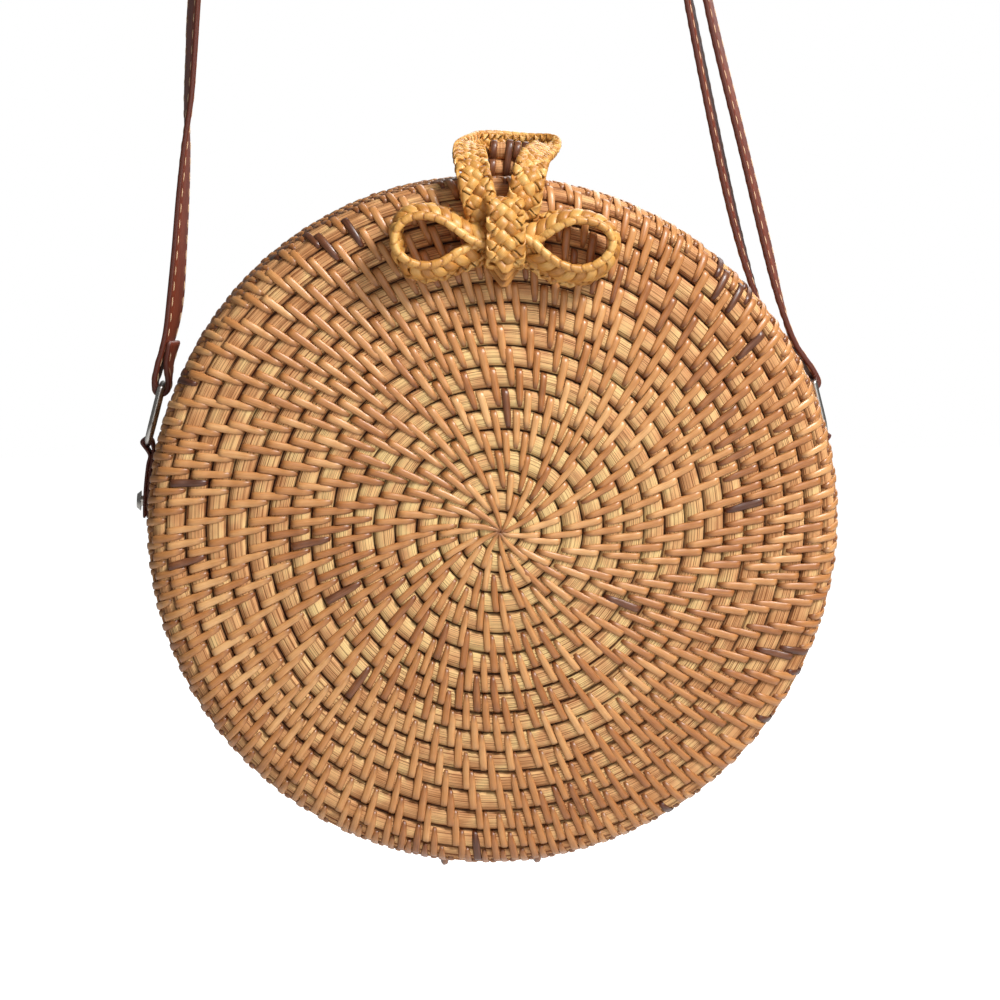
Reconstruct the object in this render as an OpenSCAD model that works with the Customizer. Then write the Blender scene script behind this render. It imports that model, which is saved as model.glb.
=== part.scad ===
// Round woven cross-body bag: two coiled shells hinged at the foot, a plaited bow whose loop
// slips over a catch tongue at the top, and a leather strap on two metal rings.
// The origin is where the strap hangs. The bag's front faces -Y and +Z is up.

/* [Shells] */
// Radius over the coils
shell_r = 100; // [80:1:130]
// Depth of the front shell, from the seam to its crown
front_depth = 32; // [26:1:45]
// Depth of the back shell, from the seam to its crown
back_depth = 43; // [30:1:60]
// How far the middle of each face stands above its edge
crown = 4; // [2:0.5:7]
// Radius of the turn from the face to the side wall
corner_r = 8; // [6:0.5:12]
// Spacing of the coils
row_pitch = 6; // [5:0.25:8]
// Thickness of a coil
wall_t = 4.2; // [3.5:0.1:5.5]
// Depth of the valley between two coils
valley = 1.2; // [0.6:0.1:1.6]
// Gap between the closed shells
seam_gap = 0.6; // [0.4:0.1:1.2]

/* [Lining] */
// Thickness of the cotton
lining_t = 0.8; // [0.5:0.1:1.5]
// How far the lining's hem stays behind the rim
lining_inset = 7; // [6:0.5:12]

/* [Hinge] */
// Distance of each hinge ring from the middle
hinge_x = 14; // [8:1:16]
// Radius of a hinge ring, to the middle of its splint
hinge_r = 6; // [5.8:0.1:7]
// Thickness of the splint in a hinge ring
hinge_splint_d = 2.2; // [1.4:0.1:2.6]
// How far the hinge axis lies inside the outline
hinge_in = 0.8; // [0.6:0.1:1]

/* [Catch] */
// Middle of the catch tongue, right of the bag's middle
catch_x = 7.2; // [0:0.2:10]
// Width of the catch tongue
catch_w = 15.6; // [12:0.2:20]
// Height of the tongue above the outline
catch_h = 11.5; // [10:0.5:14]
// Thickness of the tongue
catch_t = 4.4; // [3.6:0.1:5]

/* [Bow] */
// Middle of the bow, right of the bag's middle
bow_x = 2; // [-6:0.2:6]
// How far the bow's middle lies below the top of the outline
bow_drop = 16.8; // [14:0.2:20]
// Length of a wing from the knot to its tip
wing_len = 25.5; // [20:0.5:30]
// Half height of a wing's front edge
wing_half = 6.6; // [5:0.2:8]
// How far the wing's back edge spreads beyond its front edge
wing_flare = 3; // [1:0.2:4]
// Width of the plaited band
band_w = 9; // [7:0.5:11]
// Thickness of the plaited band
band_t = 2.4; // [2:0.1:3]
// Width of the knot
knot_w = 10.8; // [9:0.2:13]
// Height of the knot, with its point
knot_h = 21.5; // [18:0.5:24]
// Height of the knot's point alone
knot_point = 5.5; // [4:0.5:7]
// How far the knot stands off the shell
knot_depth = 11.5; // [10.5:0.5:13]

/* [Loop] */
// Width of the two limbs that rise from the knot
loop_band_w = 9.4; // [8:0.2:10]
// How far the left limb's middle lies to the left of the bow's middle at its bend
limb_left_x = 9.2; // [8:0.2:10]
// How far the right limb's middle lies to the right of the bow's middle at its bend
limb_right_x = 6.4; // [5.8:0.2:7]
// Height of the limbs' bend above the outline
loop_root = 0.6; // [0.4:0.1:1.5]
// Height of the loop's top above the outline
loop_h = 13; // [12.5:0.1:15]
// Height of the loop's band behind the tongue
loop_tall = 8.4; // [7:0.2:8.8]
// Room beside the tongue inside the loop
loop_play = 0.4; // [0.3:0.1:1]
// Room behind the tongue, which the loop needs to lift off it
loop_slack = 1.6; // [1.5:0.1:2.5]

/* [Strap rings] */
// Thickness of the ring's wire
wire_d = 2; // [1.6:0.1:2.6]
// Inside width of a ring
ring_w = 13; // [12.5:0.5:16]
// Straight length between the ring's bow and its bar
ring_leg = 10; // [9:0.5:11]
// Height of the middle of an upright ring's bow above the bag's middle
ring_z = 29.5; // [26:0.5:31]
// How far the ring leans in over the bag, in degrees
ring_lean = 15; // [10:0.5:16]
// Width of the leather tab
tab_w = 8; // [6:0.5:9]
// Thickness of the tab's leather
tab_t = 1.1; // [1:0.1:1.5]
// Play of the ring in the tab's loop
tab_play = 0.5; // [0.4:0.1:0.6]
// Length of the tab along the wall, below its loop
tab_len = 21; // [17:1:28]
// Diameter of a tab rivet's head
rivet_d = 6; // [4.5:0.5:7]

/* [Strap] */
// Height of the hanging point above the bag's middle
hang_h = 511; // [440:1:620]
// How far the bag's middle lies right of the hanging point
hang_side = 40; // [0:1:60]
// Width of the strap
strap_w = 12; // [10:0.5:12.5]
// Thickness of the strap
strap_t = 1.6; // [1.4:0.1:2]
// Inside radius of the strap's bend at the top
bend_r = 12; // [9:0.5:20]
// Length of the sewn tail above the left ring
tail_len = 26; // [22:1:34]
// How far the tail's leather comes together above the left ring
tail_close = 13; // [11:0.5:16]
// Height of the slide above the right ring's bar
slide_h = 209; // [160:1:260]
// Distance behind the seam at which the strap carries the bag
strap_back = 5; // [4.6:0.1:8]
// Gap between the wall and the run that comes back from the right ring
return_gap = 1; // [0.5:0.1:1.2]

/* [Hidden] */

// Fine steps for every round surface
$fn = 64;
// Overrun of every cut
over = 1;
// Gap left at rest between pieces that only touch
seat = 0.3;
// Gap round a piece that turns or slides in another
running = 0.1;

// Profile of a coiled shell: across the face, round the corner and down the wall
face_len = shell_r - corner_r;
corner_len = corner_r * PI / 2;
function wall_len(depth) = depth - crown - corner_r - seam_gap / 2;
function path_len(depth) = face_len + corner_len + wall_len(depth);
// A quarter turn, as the share of the corner that has been passed
function turn(s) = 90 * (s - face_len) / corner_len;
function path_at(s, depth) =
    s < face_len
        ? [s, depth - crown * pow(s / face_len, 2)]
        : s < face_len + corner_len
            ? [face_len + corner_r * sin(turn(s)), depth - crown - corner_r * (1 - cos(turn(s)))]
            : [shell_r, depth - crown - corner_r - (s - face_len - corner_len)];
function normal_at(s) =
    s < face_len
        ? [sin(turn_of_face(s)), cos(turn_of_face(s))]
        : s < face_len + corner_len ? [sin(turn(s)), cos(turn(s))] : [1, 0];
function turn_of_face(s) = atan(2 * crown * s / pow(face_len, 2));
// Each coil stands proud as a half round over the valleys
function coil_at(f) = sqrt(1 - pow(2 * f - 1, 2)) - 1;
// Steps across one coil
coil_steps = 6;
// Steps along the smooth inside
inside_steps = 30;
function coils(depth) = round(path_len(depth) / row_pitch);
function offset_point(s, depth, d) = path_at(s, depth) + normal_at(s) * d;
function outside(depth) = [
    for (i = [0 : coils(depth) - 1], k = [0 : coil_steps - 1])
        let (f = k / coil_steps, s = (i + f) * path_len(depth) / coils(depth))
            [max(0, offset_point(s, depth, valley * coil_at(f)).x),
             offset_point(s, depth, valley * coil_at(f)).y],
    offset_point(path_len(depth), depth, -valley)
];
function inside(depth, d, stop) = [
    for (i = [0 : inside_steps])
        let (p = offset_point(i / inside_steps * (path_len(depth) - stop), depth, -d))
            [max(0, p.x), p.y]
];
function reversed(list) = [for (i = [len(list) - 1 : -1 : 0]) list[i]];

module shell_solid(depth) {
    rotate_extrude()
        polygon(concat(outside(depth), reversed(inside(depth, wall_t, 0))));
}

module lining_solid(depth) {
    rotate_extrude()
        polygon(concat(
            inside(depth, wall_t + seat, lining_inset),
            reversed(inside(depth, wall_t + seat + lining_t, lining_inset))
        ));
}

// Places measured from the hanging point
bag_place = [hang_side, -strap_back, -hang_h];
module on_bag() {
    translate(bag_place) children();
}
module front_half() {
    on_bag() rotate([90, 0, 0]) children();
}
module back_half() {
    on_bag() rotate([-90, 0, 0]) children();
}

// Hinge rings, round an axis along X at the foot of the seam
hinge_z = -(shell_r - hinge_in);
module hinge_ring(side, extra = 0) {
    on_bag() translate([side * hinge_x, 0, hinge_z]) rotate([0, 90, 0])
        rotate_extrude() translate([hinge_r, 0]) circle(d = hinge_splint_d + 2 * extra);
}
module hinge_channels() {
    for (side = [-1, 1]) hinge_ring(side, running);
}

module front_shell() {
    color("peru") difference() {
        front_half() shell_solid(front_depth);
        hinge_channels();
    }
}

module back_shell() {
    color("peru") difference() {
        back_half() shell_solid(back_depth);
        hinge_channels();
        for (side = [-1, 1]) rivet_hole(side);
    }
}

module front_lining() {
    color("wheat") front_half() lining_solid(front_depth);
}

module back_lining() {
    color("wheat") difference() {
        back_half() lining_solid(back_depth);
        for (side = [-1, 1]) rivet_room(side);
    }
}

module hinge_ring_left() {
    color("saddlebrown") hinge_ring(-1);
}

module hinge_ring_right() {
    color("saddlebrown") hinge_ring(1);
}

// Catch tongue: two short coils standing on the back rim, rounded at the top corners
catch_y = seam_gap / 2;
catch_foot = sqrt(pow(shell_r, 2) - pow(catch_x + catch_w / 2, 2)) - valley;
catch_corner_r = catch_w / 5;
module catch_outline() {
    top = shell_r + catch_h;
    difference() {
        union() {
            translate([-catch_w / 2, 0]) square([catch_w, top - catch_corner_r]);
            translate([-catch_w / 2 + catch_corner_r, 0])
                square([catch_w - 2 * catch_corner_r, top]);
            for (side = [-1, 1])
                translate([side * (catch_w / 2 - catch_corner_r), top - catch_corner_r])
                    circle(catch_corner_r);
        }
        translate([-catch_x, 0]) circle(shell_r + seat, $fn = 128);
    }
}
// The groove between the tongue's two coils
module catch_groove(y) {
    translate([-catch_w, y, shell_r + catch_h / 2]) rotate([0, 90, 0])
        cylinder(d = valley, h = 2 * catch_w);
}
module catch_tongue() {
    color("saddlebrown") on_bag() translate([catch_x, 0, 0]) difference() {
        translate([0, catch_y + catch_t, 0]) rotate([90, 0, 0])
            linear_extrude(catch_t) catch_outline();
        catch_groove(catch_y);
        catch_groove(catch_y + catch_t);
    }
}

// Bow: its back edge lies just off the front shell's coils
bow_z = shell_r - bow_drop;
bow_low_r = bow_z - knot_h / 2;
bow_back_y = -(front_depth - crown * pow(bow_low_r / face_len, 2) + seat);
bow_front_y = bow_back_y - band_w;
knot_side = knot_w / 2 + seat;
// Half the spread of a wing's two ends at the knot
wing_end_half = 1.8;
// How sharply a wing narrows to the knot
wing_draw_share = 1.3;
// Highest value of the wing's curve, to which its half height is scaled
wing_peak_share = 0.79;
wing_steps = 40;
function wing_point(t, half) = [
    knot_side + wing_len * (1 - cos(t)) / 2,
    wing_end_half * cos(t / 2)
        + half / wing_peak_share * sin(t) * pow(sin(t / 2), wing_draw_share)
];
function unit(v) = v / norm(v);
function left_of(v) = [-v.y, v.x];
function wing_normal(t, half) =
    left_of(unit(wing_point(min(t + 1, 360), half) - wing_point(max(t - 1, 0), half)));
function wing_section(t) =
    let (
        front = wing_point(t, wing_half),
        back = wing_point(t, wing_half + wing_flare),
        nf = wing_normal(t, wing_half) * band_t / 2,
        nb = wing_normal(t, wing_half + wing_flare) * band_t / 2
    )
    [
        [front.x + nf.x, bow_front_y, front.y + nf.y],
        [back.x + nb.x, bow_back_y, back.y + nb.y],
        [back.x - nb.x, bow_back_y, back.y - nb.y],
        [front.x - nf.x, bow_front_y, front.y - nf.y]
    ];
// A solid through a row of four-cornered sections
module through(sections) {
    n = len(sections);
    points = [for (s = sections, p = s) p];
    faces = concat(
        [[3, 2, 1], [3, 1, 0]],
        [for (i = [0 : n - 2], k = [0 : 3])
            [4 * i + k, 4 * i + (k + 1) % 4, 4 * i + 4 + (k + 1) % 4]],
        [for (i = [0 : n - 2], k = [0 : 3])
            [4 * i + k, 4 * i + 4 + (k + 1) % 4, 4 * i + 4 + k]],
        [[4 * n - 4, 4 * n - 3, 4 * n - 2], [4 * n - 4, 4 * n - 2, 4 * n - 1]]
    );
    polyhedron(points, faces);
}
module wing() {
    through([for (i = [0 : wing_steps]) wing_section(360 * i / wing_steps)]);
}
module bow_wing_right() {
    color("goldenrod") on_bag() translate([bow_x, 0, bow_z]) wing();
}
module bow_wing_left() {
    color("goldenrod") on_bag() translate([bow_x, 0, bow_z]) mirror([1, 0, 0]) wing();
}

// Knot: a mitred wrap with a point at the foot and a round front
knot_top = knot_h / 2;
module bow_knot() {
    color("goldenrod") on_bag() translate([bow_x, bow_back_y, bow_z]) intersection() {
        rotate([90, 0, 0]) linear_extrude(knot_depth) polygon([
            [-knot_w / 2, knot_top],
            [-knot_w / 2, knot_point - knot_top],
            [0, -knot_top],
            [knot_w / 2, knot_point - knot_top],
            [knot_w / 2, knot_top]
        ]);
        translate([0, knot_w - knot_depth, -knot_h]) cylinder(r = knot_w, h = 2 * knot_h);
    }
}

// Loop: two limbs from the knot, which bend back over the rim and join behind the tongue
loop_bend = [bow_back_y - band_t, shell_r + loop_root];
limb_top = loop_bend.y - band_t / 2 - seat;
limb_foot = bow_z + knot_top + seat;
function limb_x(side) = side < 0 ? -limb_left_x : limb_right_x;
module limb(side) {
    top_x = bow_x + limb_x(side);
    foot_x = bow_x + side * (knot_w + loop_band_w / 4) / 2;
    color("goldenrod") on_bag()
        translate([0, loop_bend.x + band_t / 2, 0]) rotate([90, 0, 0])
            linear_extrude(band_t) polygon([
                [foot_x - loop_band_w / 2, limb_foot],
                [foot_x + loop_band_w / 2, limb_foot],
                [top_x + loop_band_w / 2, limb_top],
                [top_x - loop_band_w / 2, limb_top]
            ]);
}
module loop_limb_left() {
    limb(-1);
}
module loop_limb_right() {
    limb(1);
}

// Seen from above: the limbs run back beside the tongue and are drawn in to the band behind it
loop_in = catch_w / 2 + loop_play;
loop_out = loop_in + band_t;
loop_inside_y = catch_y + catch_t + loop_slack;
// How far the left and the right limb spread beyond the band behind the tongue, before they turn
spread_left = 5.6;
spread_right = 2.4;
// How far in front of the tongue the limbs are widest, and where they have narrowed to the band
spread_y = 7;
narrow_y = 1;
module catch_loop_outline() {
    front = loop_bend.x - band_t;
    left = bow_x - limb_left_x - catch_x;
    right = bow_x + limb_right_x - catch_x;
    polygon([
        [left - loop_band_w / 2, front],
        [left - loop_band_w / 2, loop_bend.x],
        [-loop_out - spread_left, -spread_y],
        [-loop_out, narrow_y],
        [-loop_out, loop_inside_y + band_t],
        [loop_out, loop_inside_y + band_t],
        [loop_out, narrow_y],
        [loop_out + spread_right, -spread_y],
        [right + loop_band_w / 2, loop_bend.x],
        [right + loop_band_w / 2, front],
        [right - loop_band_w / 2, front],
        [right - loop_band_w / 2, loop_bend.x],
        [loop_in, -spread_y],
        [loop_in, loop_inside_y],
        [-loop_in, loop_inside_y],
        [-loop_in, -spread_y],
        [left + loop_band_w / 2, loop_bend.x],
        [left + loop_band_w / 2, front]
    ]);
}
// Seen from the side: the limbs rise over the rim to the upright band behind the tongue
loop_low = shell_r + loop_h - loop_tall;
loop_steps = 10;
loop_rise = bezier(
    loop_bend,
    loop_bend + [band_t, loop_tall / 2],
    [-2 * spread_y, shell_r + loop_h - loop_tall / 2],
    [narrow_y, shell_r + loop_h - loop_tall / 2],
    loop_steps
);
module catch_loop_side() {
    translate([-shell_r, 0, 0]) rotate([90, 0, 90]) linear_extrude(2 * shell_r) children();
}
module catch_loop() {
    color("goldenrod") on_bag() translate([catch_x, 0, 0]) intersection() {
        linear_extrude(shell_r + 2 * loop_h) catch_loop_outline();
        union() {
            catch_loop_side() polygon(ribbon(loop_rise, band_t));
            catch_loop_side()
                translate([0, loop_low]) square([loop_inside_y + band_t, loop_tall]);
            catch_loop_side() translate(loop_bend) circle(d = band_t);
        }
    }
}

// Strap rings: a half-round bow, two legs and a straight bar, leaning in over the bag
ring_r = ring_w / 2 + wire_d / 2;
tab_room = wire_d / 2 + running;
ring_x = sqrt(pow(shell_r, 2) - pow(ring_z - ring_r, 2)) + seat + tab_t + tab_play + tab_room;
bar_x = ring_x - (ring_r + ring_leg) * sin(ring_lean);
bar_z = ring_z - ring_r + (ring_r + ring_leg) * cos(ring_lean);
module at_ring(side) {
    translate([hang_side + side * ring_x, 0, ring_z - ring_r - hang_h])
        rotate([0, -side * ring_lean, 0]) translate([0, 0, ring_r]) children();
}
module ring_bow(extra = 0) {
    rotate([0, 90, 0]) rotate_extrude() translate([ring_r, 0]) circle(d = wire_d + 2 * extra);
}
module strap_ring(side) {
    color("silver") at_ring(side) {
        difference() {
            ring_bow();
            translate([-ring_r, -2 * ring_r, 0]) cube([2 * ring_r, 4 * ring_r, 2 * ring_r]);
        }
        for (end = [-1, 1]) {
            translate([0, end * ring_r, 0]) cylinder(d = wire_d, h = ring_leg);
            translate([0, end * ring_r, ring_leg]) sphere(d = wire_d);
        }
        translate([0, ring_r, ring_leg]) rotate([90, 0, 0]) cylinder(d = wire_d, h = 2 * ring_r);
    }
}
module strap_ring_left() {
    strap_ring(-1);
}
module strap_ring_right() {
    strap_ring(1);
}

// Leather tabs: folded over the ring's bow, with both ends riveted flat on the side wall
tab_inner_r = shell_r + seat;
tab_outer_r = tab_inner_r + 2 * tab_t + running;
tab_loop = [ring_x, ring_z - ring_r];
tab_loop_r = tab_room + tab_play + tab_t;
tab_top_angle = atan2(tab_loop.y, tab_loop.x);
tab_foot_angle = tab_top_angle - tab_len / shell_r * 180 / PI;
module sector(r, from, to) {
    reach = 2 * r;
    intersection() {
        circle(r, $fn = 256);
        polygon([[0, 0], reach * [cos(from), sin(from)], reach * [cos(to), sin(to)]]);
    }
}
module tab_outline() {
    difference() {
        sector(tab_outer_r, tab_foot_angle, tab_top_angle);
        circle(tab_inner_r, $fn = 256);
    }
    difference() {
        translate(tab_loop) circle(tab_loop_r);
        circle(tab_inner_r - running, $fn = 256);
    }
}
module strap_tab(side) {
    color("sienna") difference() {
        translate([hang_side, tab_w / 2, -hang_h]) rotate([90, 0, 0])
            linear_extrude(tab_w) mirror([side < 0 ? 1 : 0, 0]) tab_outline();
        at_ring(side) ring_bow(running + tab_play);
        rivet_hole(side);
    }
}
module strap_tab_left() {
    strap_tab(-1);
}
module strap_tab_right() {
    strap_tab(1);
}

// Tab rivets: a shank through the tab and the wall, a head outside and a washer inside
rivet_angle = tab_foot_angle + rivet_d * 3 / 4 / shell_r * 180 / PI;
rivet_shank_d = rivet_d / 2;
rivet_head_h = rivet_d / 5;
rivet_inside_r = shell_r - wall_t;
module at_rivet(side) {
    translate([hang_side, 0, -hang_h]) mirror([side < 0 ? 1 : 0, 0, 0])
        rotate([0, -rivet_angle, 0]) rotate([0, 90, 0]) children();
}
module rivet_hole(side) {
    at_rivet(side) translate([0, 0, rivet_inside_r - over])
        cylinder(d = rivet_shank_d + 2 * running, h = tab_outer_r + 2 * over - rivet_inside_r);
}
module rivet_room(side) {
    at_rivet(side) translate([0, 0, rivet_inside_r - 2 * rivet_head_h])
        cylinder(d = rivet_d + 2 * seat, h = 2 * rivet_head_h);
}
module tab_rivet(side) {
    inside_foot = rivet_inside_r - seat - rivet_head_h;
    color("silver") at_rivet(side) {
        translate([0, 0, inside_foot])
            cylinder(d = rivet_shank_d, h = tab_outer_r + rivet_head_h - inside_foot);
        translate([0, 0, inside_foot]) cylinder(d = rivet_d, h = rivet_head_h);
        translate([0, 0, tab_outer_r + seat])
            cylinder(d1 = rivet_d, d2 = rivet_d * 2 / 3, h = rivet_head_h);
    }
}
module tab_rivet_left() {
    tab_rivet(-1);
}
module tab_rivet_right() {
    tab_rivet(1);
}

// Strap, drawn as a path in its own plane and laid out to its thickness
fold_r = wire_d / 2 + running + strap_t / 2;
bend_mid_r = bend_r + strap_t / 2;
bend_mid = [0, -bend_r];
bar_left = [hang_side - bar_x, bar_z - hang_h];
bar_right = [hang_side + bar_x, bar_z - hang_h];
function polar(r, a) = r * [cos(a), sin(a)];
// Direction, seen from the lower circle, in which a belt round two circles touches both
function belt_angle(low, low_r, high, high_r, side) =
    let (v = high - low, d = norm(v), a = atan2(v.y, v.x))
        a + side * (90 - asin((low_r - high_r) / d));
left_angle = belt_angle(bar_left, fold_r, bend_mid, bend_mid_r, 1);
right_angle = belt_angle(bar_right, fold_r, bend_mid, bend_mid_r, -1);
arc_steps = 16;
function arc(centre, r, from, to) =
    [for (i = [0 : arc_steps]) centre + polar(r, from + (to - from) * i / arc_steps)];
function bezier(a, b, c, d, steps) = [
    for (i = [0 : steps])
        let (t = i / steps, u = 1 - t)
            u * u * u * a + 3 * u * u * t * b + 3 * u * t * t * c + t * t * t * d
];
function ends_cut(list) = [for (i = [1 : len(list) - 2]) list[i]];

// Left end: the strap goes round the bar and comes back up beside itself
left_up = polar(1, left_angle - 90);
left_out = polar(1, left_angle);
tail_side = -left_out * (strap_t + seat / 2);
left_touch = bar_left + left_out * fold_r;
tail_meet = left_touch + tail_side + left_up * tail_close;
tail_path = bezier(
    tail_meet,
    tail_meet - left_up * tail_close / 2,
    bar_left - left_out * fold_r + left_up * tail_close / 3,
    bar_left - left_out * fold_r,
    arc_steps
);
// Right end: the strap goes round the bar and runs back up to the slide
right_up = polar(1, right_angle + 90);
right_out = polar(1, right_angle);
right_touch = bar_right + right_out * fold_r;
return_start = bar_right - right_out * fold_r;

strap_path = concat(
    [tail_meet + left_up * (tail_len - tail_close)],
    tail_path,
    ends_cut(arc(bar_left, fold_r, left_angle + 180, left_angle)),
    [left_touch],
    arc(bend_mid, bend_mid_r, left_angle, right_angle),
    [right_touch],
    ends_cut(arc(bar_right, fold_r, right_angle, right_angle - 180)),
    [return_start]
);

function side_of(path, i) =
    let (
        n = len(path) - 1,
        before = unit(path[max(i, 1)] - path[max(i - 1, 0)]),
        after = unit(path[min(i + 1, n)] - path[min(i, n - 1)]),
        m = unit(before + after)
    )
    left_of(m) / (m * before);
function ribbon(path, t) = concat(
    [for (i = [0 : len(path) - 1]) path[i] + side_of(path, i) * t / 2],
    [for (i = [len(path) - 1 : -1 : 0]) path[i] - side_of(path, i) * t / 2]
);
module strap_band(path, t, w) {
    translate([0, w / 2, 0]) rotate([90, 0, 0]) linear_extrude(w) polygon(ribbon(path, t));
}
module strap() {
    color("saddlebrown") strap_band(strap_path, strap_t, strap_w);
}

// Slide: a frame whose middle bar carries the strap's folded end, thinned for the fold
fold_t = strap_t / 2;
slide_bar_r = 1.1;
slide_set = strap_t / 2 + seat + fold_t + running + slide_bar_r;
slide_mid = right_touch + right_up * slide_h - right_out * slide_set;
slide_fold_r = slide_bar_r + running + fold_t / 2;
// Length of the fold below the slide's bar
slide_fold_len = 15;
// Half length of the slide along the strap
slide_half = 6.5;
slide_w = strap_w + 2 * seat + 4 * slide_bar_r;
slide_cross = strap_t / 2 + seat + slide_bar_r;
module in_slide() {
    translate([slide_mid.x, 0, slide_mid.y])
        rotate([0, 90 - atan2(right_up.y, right_up.x), 0]) children();
}
module slide_bar(x, z) {
    translate([x, slide_w / 2, z]) rotate([90, 0, 0]) cylinder(r = slide_bar_r, h = slide_w);
}
module slide_cheek(y) {
    bar_reach = slide_set + slide_cross;
    translate([0, y + slide_bar_r, 0]) rotate([90, 0, 0]) linear_extrude(2 * slide_bar_r)
        polygon([
            [-slide_bar_r, -slide_bar_r * 2],
            [-slide_bar_r, slide_bar_r * 2],
            [bar_reach - slide_bar_r, slide_half + slide_bar_r],
            [bar_reach + slide_bar_r, slide_half + slide_bar_r],
            [bar_reach + slide_bar_r, -slide_half - slide_bar_r],
            [bar_reach - slide_bar_r, -slide_half - slide_bar_r]
        ]);
}
module strap_slide() {
    color("silver") in_slide() {
        slide_bar(0, 0);
        for (end = [-1, 1]) slide_bar(slide_set + slide_cross, end * slide_half);
        for (side = [-1, 1]) slide_cheek(side * (slide_w / 2 - slide_bar_r));
    }
}

// The folded end round the slide's bar, both layers lying together below it
fold_up = right_up;
fold_gap = fold_t / 2 + seat / 4;
fold_foot = slide_mid - fold_up * slide_fold_len;
fold_join = slide_mid - fold_up * slide_fold_len / 3;
slide_fold_path = concat(
    [fold_foot + right_out * fold_gap],
    bezier(
        fold_join + right_out * fold_gap,
        fold_join + right_out * fold_gap + fold_up * slide_fold_len / 8,
        slide_mid + right_out * slide_fold_r - fold_up * slide_fold_len / 8,
        slide_mid + right_out * slide_fold_r,
        arc_steps
    ),
    ends_cut(arc(slide_mid, slide_fold_r, right_angle, right_angle + 180)),
    bezier(
        slide_mid - right_out * slide_fold_r,
        slide_mid - right_out * slide_fold_r - fold_up * slide_fold_len / 8,
        fold_join - right_out * fold_gap + fold_up * slide_fold_len / 8,
        fold_join - right_out * fold_gap,
        arc_steps
    ),
    [fold_foot - right_out * fold_gap]
);
module slide_fold() {
    color("saddlebrown") strap_band(slide_fold_path, fold_t, strap_w);
}

// The run from the ring back to the slide, bowed towards the bag until it all but touches the wall
return_steps = 24;
return_end = fold_foot - fold_up * (seat + strap_t);
return_begin = return_start + right_up * (seat + strap_t);
bag_mid = [hang_side, -hang_h];
return_from = return_begin - bag_mid;
return_reach = shell_r + strap_t / 2 + return_gap;
return_angle = atan2(return_from.y, return_from.x)
    + acos(min(return_reach / norm(return_from), 1));
return_touch = bag_mid + polar(return_reach, return_angle);
// How far the run leans to the bag on its way up, as shares of its length
return_high_share = [0.062, 0.46];
return_run = norm(return_end - return_begin);
function return_point(share) =
    return_begin + right_up * return_run * share.y - right_out * return_run * share.x;
strap_return_path = concat(
    [return_start + right_up * seat],
    bezier(
        return_begin,
        return_touch,
        return_point(return_high_share),
        return_end,
        return_steps
    ),
    [fold_foot - fold_up * seat]
);
module strap_return() {
    color("saddlebrown") strap_band(strap_return_path, strap_t, strap_w);
}

front_shell();
back_shell();
front_lining();
back_lining();
hinge_ring_left();
hinge_ring_right();
catch_tongue();
bow_knot();
bow_wing_left();
bow_wing_right();
loop_limb_left();
loop_limb_right();
catch_loop();
strap_ring_left();
strap_ring_right();
strap_tab_left();
strap_tab_right();
tab_rivet_left();
tab_rivet_right();
strap();
strap_return();
strap_slide();
slide_fold();
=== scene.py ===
import math
import bpy
import numpy as np
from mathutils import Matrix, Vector


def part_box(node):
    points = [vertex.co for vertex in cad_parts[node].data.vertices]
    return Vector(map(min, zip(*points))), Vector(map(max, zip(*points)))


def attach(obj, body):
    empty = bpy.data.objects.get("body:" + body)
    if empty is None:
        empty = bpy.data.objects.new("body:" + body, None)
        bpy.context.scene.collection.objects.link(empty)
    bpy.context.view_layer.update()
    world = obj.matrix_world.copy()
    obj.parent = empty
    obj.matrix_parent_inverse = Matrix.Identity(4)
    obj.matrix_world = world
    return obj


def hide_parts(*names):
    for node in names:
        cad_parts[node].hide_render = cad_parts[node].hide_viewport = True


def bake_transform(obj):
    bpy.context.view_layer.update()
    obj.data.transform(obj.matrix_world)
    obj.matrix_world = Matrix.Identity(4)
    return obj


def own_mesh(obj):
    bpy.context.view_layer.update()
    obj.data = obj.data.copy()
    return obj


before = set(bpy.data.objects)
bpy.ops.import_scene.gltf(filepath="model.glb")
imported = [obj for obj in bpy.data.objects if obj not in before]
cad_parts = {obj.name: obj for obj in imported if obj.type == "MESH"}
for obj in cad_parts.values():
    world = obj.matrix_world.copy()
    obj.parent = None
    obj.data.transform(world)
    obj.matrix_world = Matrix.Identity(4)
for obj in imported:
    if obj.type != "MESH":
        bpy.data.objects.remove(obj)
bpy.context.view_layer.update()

# The bag hangs from its strap in front of plain white. Every place is measured from the middle
# of the two woven shells, on the seam between them, which the imported model gives.
mm = 0.001
front_low, front_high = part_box("front_shell")
back_low, back_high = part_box("back_shell")
bag_mid = Vector((
    (front_low.x + front_high.x) / 2,
    (front_high.y + back_low.y) / 2,
    (front_low.z + front_high.z) / 2,
))
shell_r = (front_high.x - front_low.x) / 2

# The photograph is taken from a little above the bag and a little to its left, with a long lens.
# The bag's middle stands a little off the picture's middle, and the camera's shift follows that.
camera_distance = 700 * mm
camera_elevation = math.radians(8.5)
camera_azimuth = math.radians(-5)
lens_pixels = 2362
picture_pixels = 1000
sensor_width = 36
bag_mid_pixel = (490.5, 516)

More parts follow.
